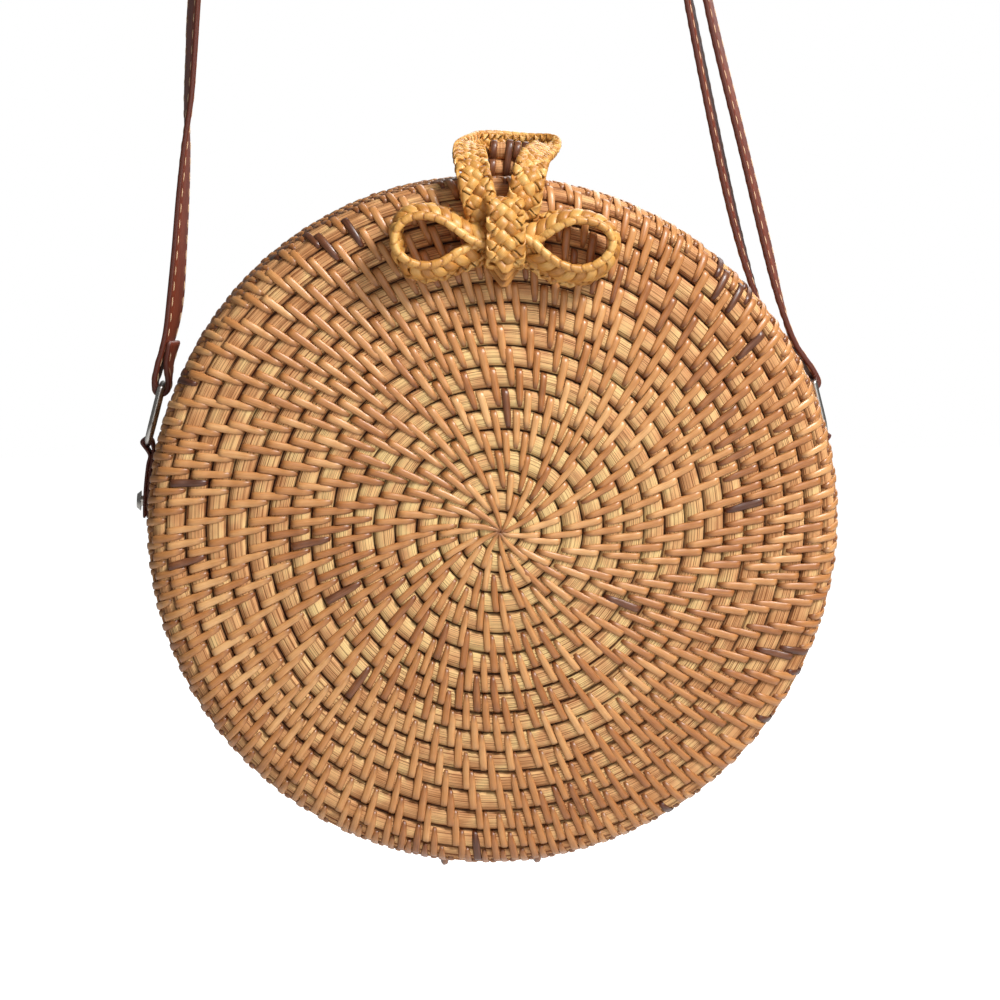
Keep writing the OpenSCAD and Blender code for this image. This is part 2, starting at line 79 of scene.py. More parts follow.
camera = bpy.data.objects.new("camera", bpy.data.cameras.new("camera"))
bpy.context.collection.objects.link(camera)
toward_camera = Vector((
    math.sin(camera_azimuth) * math.cos(camera_elevation),
    -math.cos(camera_azimuth) * math.cos(camera_elevation),
    math.sin(camera_elevation),
))
camera.location = bag_mid + toward_camera * camera_distance
camera.rotation_euler = toward_camera.to_track_quat("Z", "Y").to_euler()
camera.data.sensor_width = sensor_width
camera.data.lens = sensor_width * lens_pixels / picture_pixels
camera.data.shift_x = (picture_pixels / 2 - bag_mid_pixel[0]) / picture_pixels
camera.data.shift_y = (bag_mid_pixel[1] - picture_pixels / 2) / picture_pixels
camera.data.clip_start = 10 * mm
bpy.context.scene.camera = camera

# The two shells are coiled baskets. A flat bundle of fine reeds winds round and round from the
# middle, over the rounded edge and down the wall, and the rim is its last turn. The turns are
# drawn here with their reeds, and a wall of the real thickness behind them.
crown = 4 * mm
corner_r = 8 * mm
wall_t = 4.2 * mm
seam_gap = back_low.y - front_high.y
front_depth = bag_mid.y - front_low.y
back_depth = back_high.y - bag_mid.y
turn_pitch = 6 * mm
coil_sink = 0.75 * mm
coil_valley = 2.1 * mm
reed_count = 7
reed_groove = 0.17 * mm
turn_square = 2.6
turn_stray = 0.28 * mm
turn_swell = 0.10 * mm
grain_drift = 6
inner_ripple = 0.35 * mm
# The rim's turn is thicker and set off by a deeper valley: how much deeper, and how much painted shade
# darkens its reeds there
rim_swell = 0.2 * mm
rim_valley = np.array([0.5, 0.9, 0.5]) * mm
rim_shade = np.array([0.35, 0.6, 0.35])
steps_round = 220
face_len = shell_r - corner_r
corner_len = corner_r * math.pi / 2


def shell_len(depth):
    return face_len + corner_len + depth - crown - corner_r - seam_gap / 2


def turns_of(depth):
    return round(shell_len(depth) / turn_pitch)


def shell_path(s, depth):
    """Radius and height over the seam, s from the middle along a shell, and its outward direction."""
    turn = np.clip((s - face_len) / corner_r, 0, math.pi / 2)
    wall = np.maximum(s - face_len - corner_len, 0)
    slope = np.arctan(2 * crown * np.minimum(s, face_len) / face_len**2) * (s < face_len)
    radius = np.minimum(s, face_len) + corner_r * np.sin(turn)
    height = depth - crown * (np.minimum(s, face_len) / face_len) ** 2
    height = height - corner_r * (1 - np.cos(turn)) - wall
    return radius, height, np.sin(turn + slope), np.cos(turn + slope)


def waver(s, angle, depth):
    """Hand-laid turns stray a little from true circles, but not at the middle or the rim."""
    window = np.sin(np.clip(s / shell_len(depth), 0, 1) * math.pi)
    slow = np.sin(2 * angle + 0.9) + 0.7 * np.sin(3 * angle - 55 * s + 2.1)
    quick = 0.45 * np.sin(7 * angle + 160 * s) + 0.35 * np.sin(11 * angle - 230 * s + 1.0)
    return window * (slow + quick)


def on_shell(s, angle, lift, aside, depth, side):
    """Points of a shell: s out from the middle, at an angle, lifted off it and shifted sideways."""
    strayed = s + turn_stray * waver(s, angle, depth)
    radius, height, out, up = shell_path(strayed, depth)
    lift = lift + turn_swell * waver(s + 0.02, angle + 1.7, depth)
    radius = radius + out * lift
    height = height + up * lift
    x = radius * np.cos(angle) - aside * np.sin(angle)
    z = radius * np.sin(angle) + aside * np.cos(angle)
    x, height, z = np.broadcast_arrays(side * x, -side * height, z)
    return np.stack([x, height, z], -1) + np.array(bag_mid)


def coil_profile(depth):
    """Places along a shell, their lifts and how much painted valley shade each gets: each turn's reeds
    outside, then back along the inside.
    """
    turns = turns_of(depth)
    pitch = shell_len(depth) / turns
    across = np.linspace(0, 1, 2 * reed_count + 1)[:-1]
    valley = 1 - (1 - np.abs(2 * across - 1) ** turn_square) ** 0.5
    s = (np.arange(turns)[:, None] + across[None, :]) * pitch
    lift = -coil_sink - coil_valley * valley
    lift[1::2] += reed_groove
    lift = np.tile(lift, turns)
    # Painted shade: each place's colour is darkened towards the valley between turns, more at the rim's
    # valley and along the rim itself
    sunk = np.tile(valley, turns)
    last = (turns - 1) * len(across)
    lift[last - 1:last + 2] -= rim_valley
    sunk[last - 1:last + 2] += rim_shade
    outside = [s.ravel(), lift, sunk]
    rim_lift = np.array([-coil_sink - coil_valley * 0.75, 0.2 * mm - wall_t])
    rim = [np.full(2, shell_len(depth) + rim_swell), rim_lift, np.full(2, 0.6)]
    inner = np.linspace(1, 0, 4 * turns + 1)
    inner_lift = 0.1 * mm - wall_t - inner_ripple * np.abs(np.cos(inner * turns * math.pi))
    inside = [inner * shell_len(depth), inner_lift, 0 * inner]
    return [np.concatenate(parts) for parts in zip(outside, rim, inside)]


class Wire:
    """A value on its way through a material: arithmetic on it adds the Math nodes."""

    def __init__(self, finish, socket):
        self.finish = finish
        self.socket = socket

    def maths(self, operation, *values):
        return self.finish.add("ShaderNodeMath", {"operation": operation}, dict(enumerate(values)))

    def __add__(self, other):
        return self.maths("ADD", self, other)

    def __sub__(self, other):
        return self.maths("SUBTRACT", self, other)

    def __rsub__(self, other):
        return self.maths("SUBTRACT", other, self)

    def __mul__(self, other):
        return self.maths("MULTIPLY", self, other)

    __radd__ = __add__
    __rmul__ = __mul__

    def clamped(self, low, high):
        """0 at low and 1 at high, with an even rise between them and none beyond."""
        return self.finish.add("ShaderNodeMapRange", {}, {0: self, 1: low, 2: high})


class Finish:
    """One material. add() puts in a node, its settings first, and wear() gives the results to the
    shader's own sockets."""

    def __init__(self, name, **constants):
        self.material = bpy.data.materials.new(name)
        self.material.use_nodes = True
        self.tree = self.material.node_tree
        self.shader = self.tree.nodes["Principled BSDF"]
        for words, value in constants.items():
            self.shader.inputs[words.replace("_", " ").title().replace("Ior", "IOR")].default_value = value

    def add(self, kind, settings, sockets, output=0):
        node = self.tree.nodes.new(kind)
        for key, value in settings.items():
            if key == "stops":
                ends = node.color_ramp.elements
                ends[0].position, ends[0].color = value[0][0], (*value[0][1], 1)
                ends[1].position, ends[1].color = value[-1][0], (*value[-1][1], 1)
                for place, colour in value[1:-1]:
                    ends.new(place).color = (*colour, 1)
            else:
                setattr(node, key, value)
        for key, value in sockets.items():
            self.feed(node.inputs[key], value)
        return Wire(self, node.outputs[output])

    def feed(self, socket, value):
        if isinstance(value, Wire):
            self.tree.links.new(value.socket, socket)
        elif socket.type == "RGBA":
            socket.default_value = (*value, 1)
        else:
            socket.default_value = value

    def mark(self, name):
        """A number that the mesh carries at its points."""
        return self.add("ShaderNodeAttribute", {"attribute_name": name}, {}, "Fac")

    def grain(self):
        """The mesh's own run of fibres: along, across and from piece to piece."""
        return self.add("ShaderNodeAttribute", {"attribute_name": "grain"}, {}, "Vector")

    def noise(self, vector, scale, detail=2.0, roughness=0.5):
        sockets = {"Vector": vector, "Scale": scale, "Detail": detail, "Roughness": roughness}
        return self.add("ShaderNodeTexNoise", {}, sockets, "Fac")

    def stretched(self, vector, x, y, z):
        return self.add("ShaderNodeVectorMath", {"operation": "MULTIPLY"}, {0: vector, 1: (x, y, z)})

    def ramp(self, value, *stops):
        return self.add("ShaderNodeValToRGB", {"stops": stops}, {0: value})

    def mix(self, share, first, second):
        return self.add("ShaderNodeMix", {"data_type": "RGBA"}, {0: share, 6: first, 7: second}, 2)

    def bumped(self, height, distance, strength):
        sockets = {"Height": height, "Distance": distance, "Strength": strength}
        return self.add("ShaderNodeBump", {}, sockets)

    def wear(self, **looks):
        """Ends the material: the words name the shader's sockets."""
        for words, value in looks.items():
            self.feed(self.shader.inputs[words.replace("_", " ").title()], value)
        return self.material


def srgb(red, green, blue):
    """A colour as seen on a screen, 0 to 255 a channel, as the light that a shader mixes."""
    return tuple(((c / 255 + 0.055) / 1.055) ** 2.4 for c in (red, green, blue))


def object_of(name, points, faces, material, **marks):
    """A mesh object. marks are numbers at its points, or grain, three numbers at each."""
    mesh = bpy.data.meshes.new(name)
    mesh.from_pydata(np.asarray(points).reshape(-1, 3).tolist(), [], faces)
    mesh.validate()
    for key, values in marks.items():
        values = np.asarray(values, np.float32)
        kind, field = ("FLOAT_VECTOR", "vector") if values.ndim > 1 else ("FLOAT", "value")
        mesh.attributes.new(key, kind, "POINT").data.foreach_set(field, values.ravel())
    mesh.polygons.foreach_set("use_smooth", [True] * len(mesh.polygons))
    mesh.materials.append(material)
    made = bpy.data.objects.new(name, mesh)
    bpy.context.collection.objects.link(made)
    return made


def bowl_faces(around, rows, flipped):
    """Faces of a round bowl made of rows that run from its middle out and back to its middle."""
    faces = []
    for i in range(around):
        a, b = i * rows, (i + 1) % around * rows
        faces += [(a + k, a + k + 1, b + k + 1, b + k) for k in range(rows - 1)]
    faces.append(tuple(i * rows for i in range(around))[::-1])
    faces.append(tuple(i * rows + rows - 1 for i in range(around)))
    return [face[::-1] for face in faces] if flipped else faces


def coiled_shell(name, node, depth, side, material, body):
    """A whole shell: its turns of reeds outside, its rim, and the wall behind them."""
    s, lift, sunk = coil_profile(depth)
    s = np.maximum(s, 0.02 * mm)
    angle = np.linspace(0, 2 * math.pi, steps_round + 1)[:-1]
    points = on_shell(s[None, :], angle[:, None], lift[None, :], 0, depth, side)
    along = angle[:, None] + 0 * s[None, :]
    circle = s[None, :] * grain_drift
    grain = np.stack([np.cos(along) * circle, np.sin(along) * circle, s[None, :] / mm + 0 * along], -1)
    # The painted valley shade goes to the colour as a number at each point
    made = object_of(
        name, points, bowl_faces(steps_round, len(s), side < 0), material, grain=grain.reshape(-1, 3),
        reach=(s[None, :] / shell_len(depth) + 0 * along).ravel(), sunk=(sunk[None, :] + 0 * along).ravel(),
    )
    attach(made, body)
    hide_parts(node)


reed = Finish("pale_reed", roughness=0.6, specular_ior_level=0.18)
reed_grain = reed.grain()
reed_lines = reed.noise(reed.stretched(reed_grain, 0.6, 0.6, 3.9), 1.0, 2.0, 0.65)
reed_blocks = reed.noise(reed.stretched(reed_grain, 26, 26, 0.12), 1.0, 1.0)
reed_tone = reed.ramp(
    reed_blocks + (reed.mark("reach") * 0.42 - 0.22),
    (0.25, srgb(240, 204, 140)), (0.45, srgb(230, 182, 124)),
    (0.60, srgb(216, 160, 108)), (0.80, srgb(196, 138, 88)),
)
reed_dark = reed_lines.clamped(0.36, 0.52)
reed_lined = reed.mix(reed_dark, srgb(116, 58, 22), reed_tone)
# Painted shade: the reeds' colour goes nearly black towards each valley between turns
reed_valley_shade = (reed.mark("sunk") + (reed_blocks * 0.5 - 0.25)).clamped(0.30, 0.95)
reed_colour = reed.mix(reed_valley_shade, reed_lined, srgb(50, 18, 6))
pale_reed = reed.wear(base_color=reed_colour, normal=reed.bumped(reed_lines, 0.00016, 0.9))
coiled_shell("front_coils", "front_shell", front_depth, 1, pale_reed, "front")
coiled_shell("back_coils", "back_shell", back_depth, -1, pale_reed, "back")

# Every turn is sewn to the one before it with splints of rattan skin. A stitch comes up beside
# the end of the one before, lies over two turns and leans to one side, and goes down at the
# outer edge of its own turn, so that the pale reeds show between pairs of stitches.
splint_w = 2.22 * mm
splint_dome = 0.42 * mm
splint_back = 0.22 * mm
pair_pitch = 2.08 * mm
most_shift = 0.45 * mm
rim_end_short = 0.42 * mm
rim_end_in = 0.30 * mm
dark_share = 0.012
dark_patch_share = 0.42
lean = math.tan(math.radians(9))
star_splints = 10
stitches_at_middle = 9.5
stitches_per_metre = 889
# How far along a stitch, how high over the turns and how wide it is there
stitch_along_shares = np.array([0.014, 0.04, 0.10, 0.22, 0.36, 0.50, 0.64, 0.80, 0.91, 0.962, 0.988])
stitch_lift = np.array([-2.7, -1.5, -0.90, -0.58, -0.66, -0.86, -0.62, -0.46, -0.66, -1.3, -2.6]) * mm
stitch_width_shares = np.array([0.45, 0.54, 0.70, 0.86, 0.96, 1, 1, 1, 0.98, 0.88, 0.72])
splint_section = np.array([(-1, 0), (-0.76, 0.78), (0, 1), (0.76, 0.78), (1, 0), (0, -1)])
# Where the photograph shows dark splints together: right of the middle, above it, and how wide
dark_patches = [(68, 43, 9), (-48, 28, 8), (28, -97, 14), (98, -8, 11), (-26, 93, 9), (32, 91, 10)]


def pair_share(radius):
    """Near the middle the splints are a little narrower and lie closer together."""
    return 0.82 + 0.18 * min(1, radius / (40 * mm))


def winding(depth):
    """How far a leaning stitch has turned about the middle, as a table over the shell."""
    s = np.linspace(0.4 * mm, shell_len(depth), 800)
    radius = shell_path(s, depth)[0]
    turned = np.concatenate([[0], np.cumsum(np.diff(s) / ((radius[1:] + radius[:-1]) / 2))])
    return s, turned * lean


def stitch_angles(depth, chance):
    """For each turn from the second on, the angles of its stitches before they lean."""
    turns = turns_of(depth)
    pitch = shell_len(depth) / turns
    angles = np.arange(star_splints) * 2 * math.pi / star_splints
    angles = angles + chance.normal(0, 0.05, star_splints)
    laid = [angles]
    for turn in range(3, turns + 1):
        shared = shell_path(np.array([(turn - 1.5) * pitch]), depth)[0][0]
        inner = shell_path(np.array([(turn - 2) * pitch]), depth)[0][0]
        beside = np.sort(laid[-1]) + pair_pitch * pair_share(inner) / shared
        wanted = round(stitches_at_middle + stitches_per_metre * inner)
        angles = beside
        while len(angles) < wanted:
            gaps = np.diff(np.append(angles, angles[0] + 2 * math.pi))
            widest = int(np.argmax(gaps + chance.normal(0, 0.03 * gaps.mean(), len(gaps))))
            half_pair = pair_pitch / shared / 2
            new = angles[widest] + gaps[widest] / 2 - half_pair / 2
            angles = np.sort(np.append(angles, new))
        even = angles
        for _ in range(6):
            before = np.roll(even, 1) - np.append(2 * math.pi, np.zeros(len(even) - 1))
            after = np.roll(even, -1) + np.append(np.zeros(len(even) - 1), 2 * math.pi)
            even = even + 0.4 * ((before + after) / 2 - even)
        strayed = np.clip(even - angles, -most_shift / shared, most_shift / shared)
        laid.append(angles + strayed + chance.normal(0, 0.10 * mm, len(angles)) / shared)
    return laid


def splint_tones(angles, turn, depth, chance, patches):
    """One strand makes many stitches, so the tone drifts along a turn. A few splints are dark."""
    tone = np.zeros(len(angles))
    level = chance.normal()
    for i in range(len(angles)):
        level = 0.82 * level + 0.57 * chance.normal()
        tone[i] = 0.62 + 0.10 * level
    radius = shell_path(np.array([(turn - 1) * shell_len(depth) / turns_of(depth)]), depth)[0][0]
    x, z = radius * np.cos(angles) / mm, radius * np.sin(angles) / mm
    near = sum(np.exp(-((x - px) ** 2 + (z - pz) ** 2) / reach**2) for px, pz, reach in patches)
    dark = chance.random(len(angles)) < dark_share + dark_patch_share * np.minimum(near, 1)
    return np.where(dark, chance.uniform(0.02, 0.24, len(angles)), np.clip(tone, 0.36, 1))


def tube_faces(rings, around, count=1, flipped=False):
    """Faces of count closed tubes, each a row of rings with the same number of points."""
    one = []
    for i in range(rings - 1):
        for k in range(around):
            a, b = i * around + k, i * around + (k + 1) % around
            one.append((a, b, b + around, a + around))
    caps = [tuple(range(around))[::-1], tuple(range((rings - 1) * around, rings * around))]
    faces = []
    for n in range(count):
        shift = n * rings * around
        faces += [tuple(p + shift for p in face) for face in one + caps]
    return [face[::-1] for face in faces] if flipped else faces


def stitched_shell(name, depth, side, seed, patches, material, body):
    """All the stitches of a shell, each a thin domed splint that goes in at both its ends."""
    chance = np.random.default_rng(seed)
    pitch = shell_len(depth) / turns_of(depth)
    table = winding(depth)
    points, marks, grains = [], [], []
    for order, angles in enumerate(stitch_angles(depth, chance)):
        turn = order + 2
        tones = splint_tones(angles, turn, depth, chance, patches)
        for angle, tone in zip(angles, tones):
            first, last = (turn - 2) * pitch, turn * pitch
            first += chance.normal(0, 0.15 * mm) * (turn > 2)
            last -= rim_end_short if turn == turns_of(depth) else 0
            s = first + (last - first) * stitch_along_shares
            slim = pair_share(shell_path(np.array([first]), depth)[0][0])
            wide = splint_w / 2 * stitch_width_shares * chance.uniform(0.92, 1.07) * slim
            lift = stitch_lift + chance.normal(0, 0.05 * mm)
            if turn == 2:
                lift = lift.copy()
                lift[:4] = stitch_lift[4] + np.array([-0.15, 0, 0.1, 0.1]) * mm
                wide = wide * np.linspace(0.62, 1.15, len(s))
            if turn == turns_of(depth):
                s = np.minimum(s, shell_len(depth) - rim_end_in - splint_dome)
            bent = chance.normal(0, 0.12 * mm) * np.linspace(-1, 1, len(s))
            turned = angle + np.interp(s, *table)
            aside = splint_section[None, :, 0] * wide[:, None] + 0 * s[:, None]
            if turn > 2:
                aside = aside + bent[:, None]
            raised = splint_section[None, :, 1]
            up = lift[:, None] + raised * np.where(raised > 0, splint_dome, splint_back)
            points.append(on_shell(s[:, None], turned[:, None], up, aside, depth, side))
            along = (s - first)[:, None] / mm + 0 * aside
            grains.append(np.stack([along, aside / mm, 0 * aside + chance.uniform(0, 90)], -1))
            marks.append(np.full(aside.shape, tone))
    rings, around = len(stitch_lift), len(splint_section)
    made = object_of(
        name, np.array(points), tube_faces(rings, around, len(points), flipped=side > 0), material,
        grain=np.array(grains).reshape(-1, 3), tone=np.array(marks).ravel(),
        run=np.tile(np.repeat(stitch_along_shares, around), len(points)),
    )
    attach(made, body)


skin = Finish("rattan_skin", specular_ior_level=0.5, coat_roughness=0.25)
skin_grain = skin.grain()
skin_fibre = skin.noise(skin.stretched(skin_grain, 0.10, 4.5, 1), 1.0, 3.0, 0.6)
skin_cloud = skin.noise(skin.stretched(skin_grain, 0.22, 0.5, 1), 1.0, 2.0)
skin_tone = skin.ramp(
    skin.mark("tone") + (skin_fibre * 0.44 + skin_cloud * 0.30 - 0.37),
    (0.04, srgb(84, 46, 28)), (0.24, srgb(122, 72, 40)), (0.46, srgb(172, 108, 56)),
    (0.68, srgb(200, 138, 80)), (0.95, srgb(230, 176, 116)),
)
skin_run = skin.mark("run")
# Painted shade: both ends of every stitch are darkened where they go down between the turns
skin_end_shade = skin_run.clamped(0.24, 0.02) * 0.75 + skin_run.clamped(0.88, 0.985) * 0.6
rattan_skin = skin.wear(
    base_color=skin.mix(skin_end_shade, skin_tone, srgb(88, 38, 14)),
    roughness=0.30 + skin_fibre * 0.20,
    coat_weight=0.18 + skin_cloud * 0.25,
    normal=skin.bumped(skin_fibre, 0.00006, 0.7),
)
stitched_shell("front_stitches", front_depth, 1, 4, dark_patches, rattan_skin, "front")
stitched_shell("back_stitches", back_depth, -1, 9, [], rattan_skin, "back")

# The bow is one long flat plait of five flattened straws. It makes two loops beside a knot, and
# the plait is wrapped round the middle as the knot, whose end is folded to a point.
knot_low, knot_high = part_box("bow_knot")
bow_leftward = 1.3 * mm
bow_drop = 16.8 * mm
bow_x = (knot_low.x + knot_high.x) / 2 - bag_mid.x - bow_leftward
bow_z = shell_r - bow_drop
bow_back = knot_high.y - bag_mid.y
wing_back_gap = 0.4 * mm
roll_r = 1.34 * mm
roll_step = 3.2 * mm
lobe_pitch = 3.25 * mm
lobe_w = 3.1 * mm
lobe_t = 1.25 * mm
lobe_ends = 3 * mm
straw_count = 5
straw_w = 2.7 * mm
straw_t = 1.05 * mm
straw_weave = 0.48 * mm
straw_pitch = 4.1 * mm
straw_around = 10
straw_steps = 26
straw_chance = np.random.default_rng(12)


def smooth_run(stations, count):
    """Even points on a rounded line through the stations, spaced by their first three numbers."""
    stations = np.asarray(stations, float)
    reach = np.vstack([2 * stations[0] - stations[1], stations, 2 * stations[-1] - stations[-2]])
    part = np.linspace(0, 1, 17)[:-1, None]
    line = []
    for a, b, c, d in zip(reach, reach[1:], reach[2:], reach[3:]):
        line.append(
            b + 0.5 * part * (c - a + part * (2 * a - 5 * b + 4 * c - d + part * (3 * (b - c) + d - a)))
        )
    line = np.vstack(line + [stations[-1:]])
    far = np.concatenate([[0], np.cumsum(np.linalg.norm(np.diff(line[:, :3], axis=0), axis=1))])
    even = np.linspace(0, far[-1], count)
    return np.stack([np.interp(even, far, line[:, k]) for k in range(line.shape[1])], -1)


def unit(vectors):
    return vectors / np.linalg.norm(vectors, axis=-1, keepdims=True)


class Band:
    """A flat band in space. at() gives points from how far along, how far across and how high."""

    def __init__(self, middle, face, crowned=0):
        self.middle = np.asarray(middle, float)
        step = np.gradient(self.middle, axis=0)
        self.across = unit(np.cross(np.asarray(face, float), step))
        self.face = unit(np.cross(step, self.across))
        self.far = np.concatenate([[0], np.cumsum(np.linalg.norm(np.diff(self.middle, axis=0), axis=1))])
        self.crowned = crowned

    def at(self, along, aside, up):
        rows = [
            np.stack([np.interp(along, self.far, row[:, k]) for k in range(3)], -1)
            for row in (self.middle, self.across, self.face)
        ]
        lift = up - self.crowned * aside**2
        return rows[0] + rows[1] * aside[..., None] + rows[2] * lift[..., None] + np.array(bag_mid)


def plait(name, band, half, pitch, size):
    """Five flat straws plaited along a band. Each runs from edge to edge, over one and under the
    next, and turns over at the edges. half and pitch are one number, or a row along the band."""
    fine = np.linspace(0, band.far[-1], 600)
    places = np.linspace(0, band.far[-1], np.size(half))
    halves = np.interp(fine, places, np.ravel(half)) - straw_t * size / 2
    places = np.linspace(0, band.far[-1], np.size(pitch))
    rate = 2 / (straw_count * np.interp(fine, places, np.ravel(pitch)))
    turned = np.concatenate([[0], np.cumsum((rate[1:] + rate[:-1]) / 2 * np.diff(fine))])
    rings = int(turned[-1] * straw_steps)
    run = np.linspace(0, turned[-1], rings)
    along = np.interp(run, turned, fine)
    angle = np.arange(straw_around) * 2 * math.pi / straw_around
    points, grains, tones = [], [], []
    for straw in range(straw_count):
        phase = run + 2 * straw / straw_count + 0.06 * np.sin(run * 2.3 + straw * 2.1)
        part = phase - np.floor(phase)
        aside = np.arcsin(0.965 * np.sin(math.pi * (phase - 0.5))) / math.asin(0.965)
        aside = aside * np.interp(along, fine, halves)
        edge = 1 / straw_count
        folding = np.where(part > 1 - edge, (part - 1 + edge) / (2 * edge), (part + edge) / (2 * edge))
        in_fold = (part > 1 - edge) | (part < edge)
        up = np.where(in_fold, -np.cos(math.pi * folding), np.cos(straw_count * math.pi * part - math.pi))
        up = up * straw_weave * size
        rolled = np.clip((folding - 0.16) / 0.68, 0, 1) * math.pi * in_fold
        rolled = rolled * np.where(np.round(phase) % 2 == 1, 1, -1)
        step = np.stack([np.gradient(along), np.gradient(aside), 0 * along], -1)
        flow = unit(step)
        side = np.stack([-flow[:, 1], flow[:, 0], 0 * along], -1)
        tall = np.stack([0 * along, 0 * along, 1 + 0 * along], -1)
        wide = side * np.cos(rolled)[:, None] + tall * np.sin(rolled)[:, None]
        thick = np.cross(flow, wide)
        swell = 1 + 0.10 * np.sin(run * 5.1 + straw)
        slim = np.where(in_fold, 1 - 0.14 * np.sin(math.pi * folding), 1)
        w = (straw_w * size / 2 * swell * slim)[:, None] * np.cos(angle)[None, :]
        t = (straw_t * size / 2 * (0.8 + 0.3 * (up > 0)))[:, None] * np.sign(np.sin(angle))
        t = t * np.abs(np.sin(angle))[None, :] ** 0.8
        ring = np.stack([along, aside, up], -1)[:, None, :]
        ring = ring + wide[:, None, :] * w[..., None] + thick[:, None, :] * t[..., None]
        points.append(band.at(ring[..., 0], ring[..., 1], ring[..., 2]))
        lengths = (run * straw_count * straw_pitch / 1.6 / mm)[:, None] + 0 * w
        grains.append(np.stack([lengths, w / mm, 0 * w + straw_chance.uniform(0, 90)], -1))
        piece = np.floor(phase) * 7.3 + straw * 3.1
        tones.append((0.5 + 0.32 * np.sin(piece * 12.9))[:, None] + 0 * w)
    made = object_of(
        name, np.array(points), tube_faces(rings, straw_around, straw_count), golden_straw,
        grain=np.array(grains).reshape(-1, 3), tone=np.array(tones).ravel(),
    )
    return made


def rolled_edge(name, band, along, centre, size, step, slant, depth, body):
    """The straws at a plait's edge, rolled to a round cord with a groove where each one turns."""
    turn = np.arange(12) * math.pi / 6
    far = along[:, None] + 0 * turn
    beat = far / step + slant * np.cos(turn)
    groove = 1 - np.abs(np.sin(math.pi * beat))
    full = 1 - depth * groove**3
    aside = centre[0] + size[0] * full * np.cos(turn)
    up = centre[1] + size[1] * full * np.sin(turn)
    order = np.floor(beat)
    # Painted shade: the tone is darkest in each groove where one straw turns over the next
    made = object_of(
        name, band.at(far, aside, up), tube_faces(len(along), len(turn)), golden_straw,
        grain=np.stack([turn * 1.5 + 0 * far, far / mm * 0.5, order * 11], -1).reshape(-1, 3),
        tone=(0.62 + 0.25 * np.sin(order * 7.1) - 0.9 * groove**6).ravel(),
    )
    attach(made, body)


def splints(name, lays, wide, thick, material, body, count=26):
    """Flat splints, each laid on its own line with its face outward. A lay is line, face, tone."""
    points, grains, tones = [], [], []
    angle = np.arange(straw_around) * 2 * math.pi / straw_around
    for order, (line, face, tone) in enumerate(lays):
        run = smooth_run(np.hstack([line, face]), count)
        band = Band(run[:, :3], run[:, 3:])
        along = band.far[:, None] + 0 * angle
        aside = wide / 2 * np.cos(angle)[None, :] + 0 * along
        up = thick / 2 * np.sign(np.sin(angle)) * np.abs(np.sin(angle)) ** 0.8 + 0 * along
        points.append(band.at(along, aside, up))
        grains.append(np.stack([along / mm, aside / mm, 0 * aside + order * 17.3], -1))
        tones.append(0 * along + tone)
    made = object_of(
        name, np.array(points), tube_faces(count, straw_around, len(lays)), material,
        grain=np.array(grains).reshape(-1, 3), tone=np.array(tones).ravel(),
        run=np.full(np.array(tones).size, 0.5),
    )
    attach(made, body)
    return made


straw = Finish("plaited_straw", specular_ior_level=0.5, coat_roughness=0.28)
straw_grain = straw.grain()
straw_fibre = straw.noise(straw.stretched(straw_grain, 0.12, 5.0, 1), 1.0, 3.0, 0.6)
straw_cloud = straw.noise(straw.stretched(straw_grain, 0.3, 0.6, 1), 1.0, 2.0)
straw_colour = straw.ramp(
    straw.mark("tone") * 0.5 + (straw_fibre * 0.45 + straw_cloud * 0.35 - 0.18),
    (0.10, srgb(132, 76, 28)), (0.32, srgb(188, 126, 54)), (0.55, srgb(218, 160, 80)),
    (0.85, srgb(242, 200, 124)),
)
golden_straw = straw.wear(
    base_color=straw_colour, roughness=0.34 + straw_fibre * 0.22,
    coat_weight=0.12 + straw_cloud * 0.2, normal=straw.bumped(straw_fibre, 0.00009, 0.9),
)
# From the knot's middle: how far out and how high the front edge lies, how far out and how high
# the back edge, and how far the front edge stands off the shell
wing_places = {
    "left": [
        (4.4, -2.0, 4.4, 5.4, 8.2), (9.3, -0.6, 9.5, 6.4, 8.6), (13.0, 2.0, 13.6, 7.0, 8.9),
        (17.5, 4.9, 17.5, 8.2, 9), (22.6, 6.1, 22.6, 8.7, 9), (27.0, 5.2, 27.0, 7.6, 9),
        (29.8, 2.4, 28.4, 3.6, 9), (30.6, -0.9, 27.4, -0.8, 9), (29.4, -4.1, 27.6, -6.2, 9),
        (26.0, -6.8, 25.8, -10.6, 9), (21.8, -7.6, 21.8, -12.0, 9), (17.5, -6.6, 17.0, -11.6, 9),
        (13.0, -4.0, 12.0, -9.8, 8.2), (9.0, -2.3, 8.0, -8.2, 6.8), (4.4, -1.8, 4.4, -7.0, 5.8),
    ],
    "right": [
        (4.4, -1.8, 4.4, 5.2, 5.8), (9.4, -0.6, 9.6, 6.0, 6.8), (13.1, 1.9, 13.6, 6.7, 8.2),
        (16.8, 4.0, 17.0, 7.0, 9), (20.8, 4.7, 21.2, 6.8, 9), (25.0, 4.0, 26.0, 5.0, 9),
        (28.4, 1.8, 29.6, 1.8, 9), (29.8, -1.3, 31.2, -2.8, 9), (28.6, -4.7, 29.6, -8.6, 9),
        (25.2, -7.5, 25.8, -12.0, 9), (20.5, -8.7, 20.5, -13.6, 9), (15.7, -7.5, 15.4, -13.0, 9),
        (11.4, -4.7, 11.0, -11.2, 8.9), (8.0, -1.6, 7.6, -8.8, 8.6), (4.4, 0.4, 4.4, -6.8, 8.2),
    ],
}
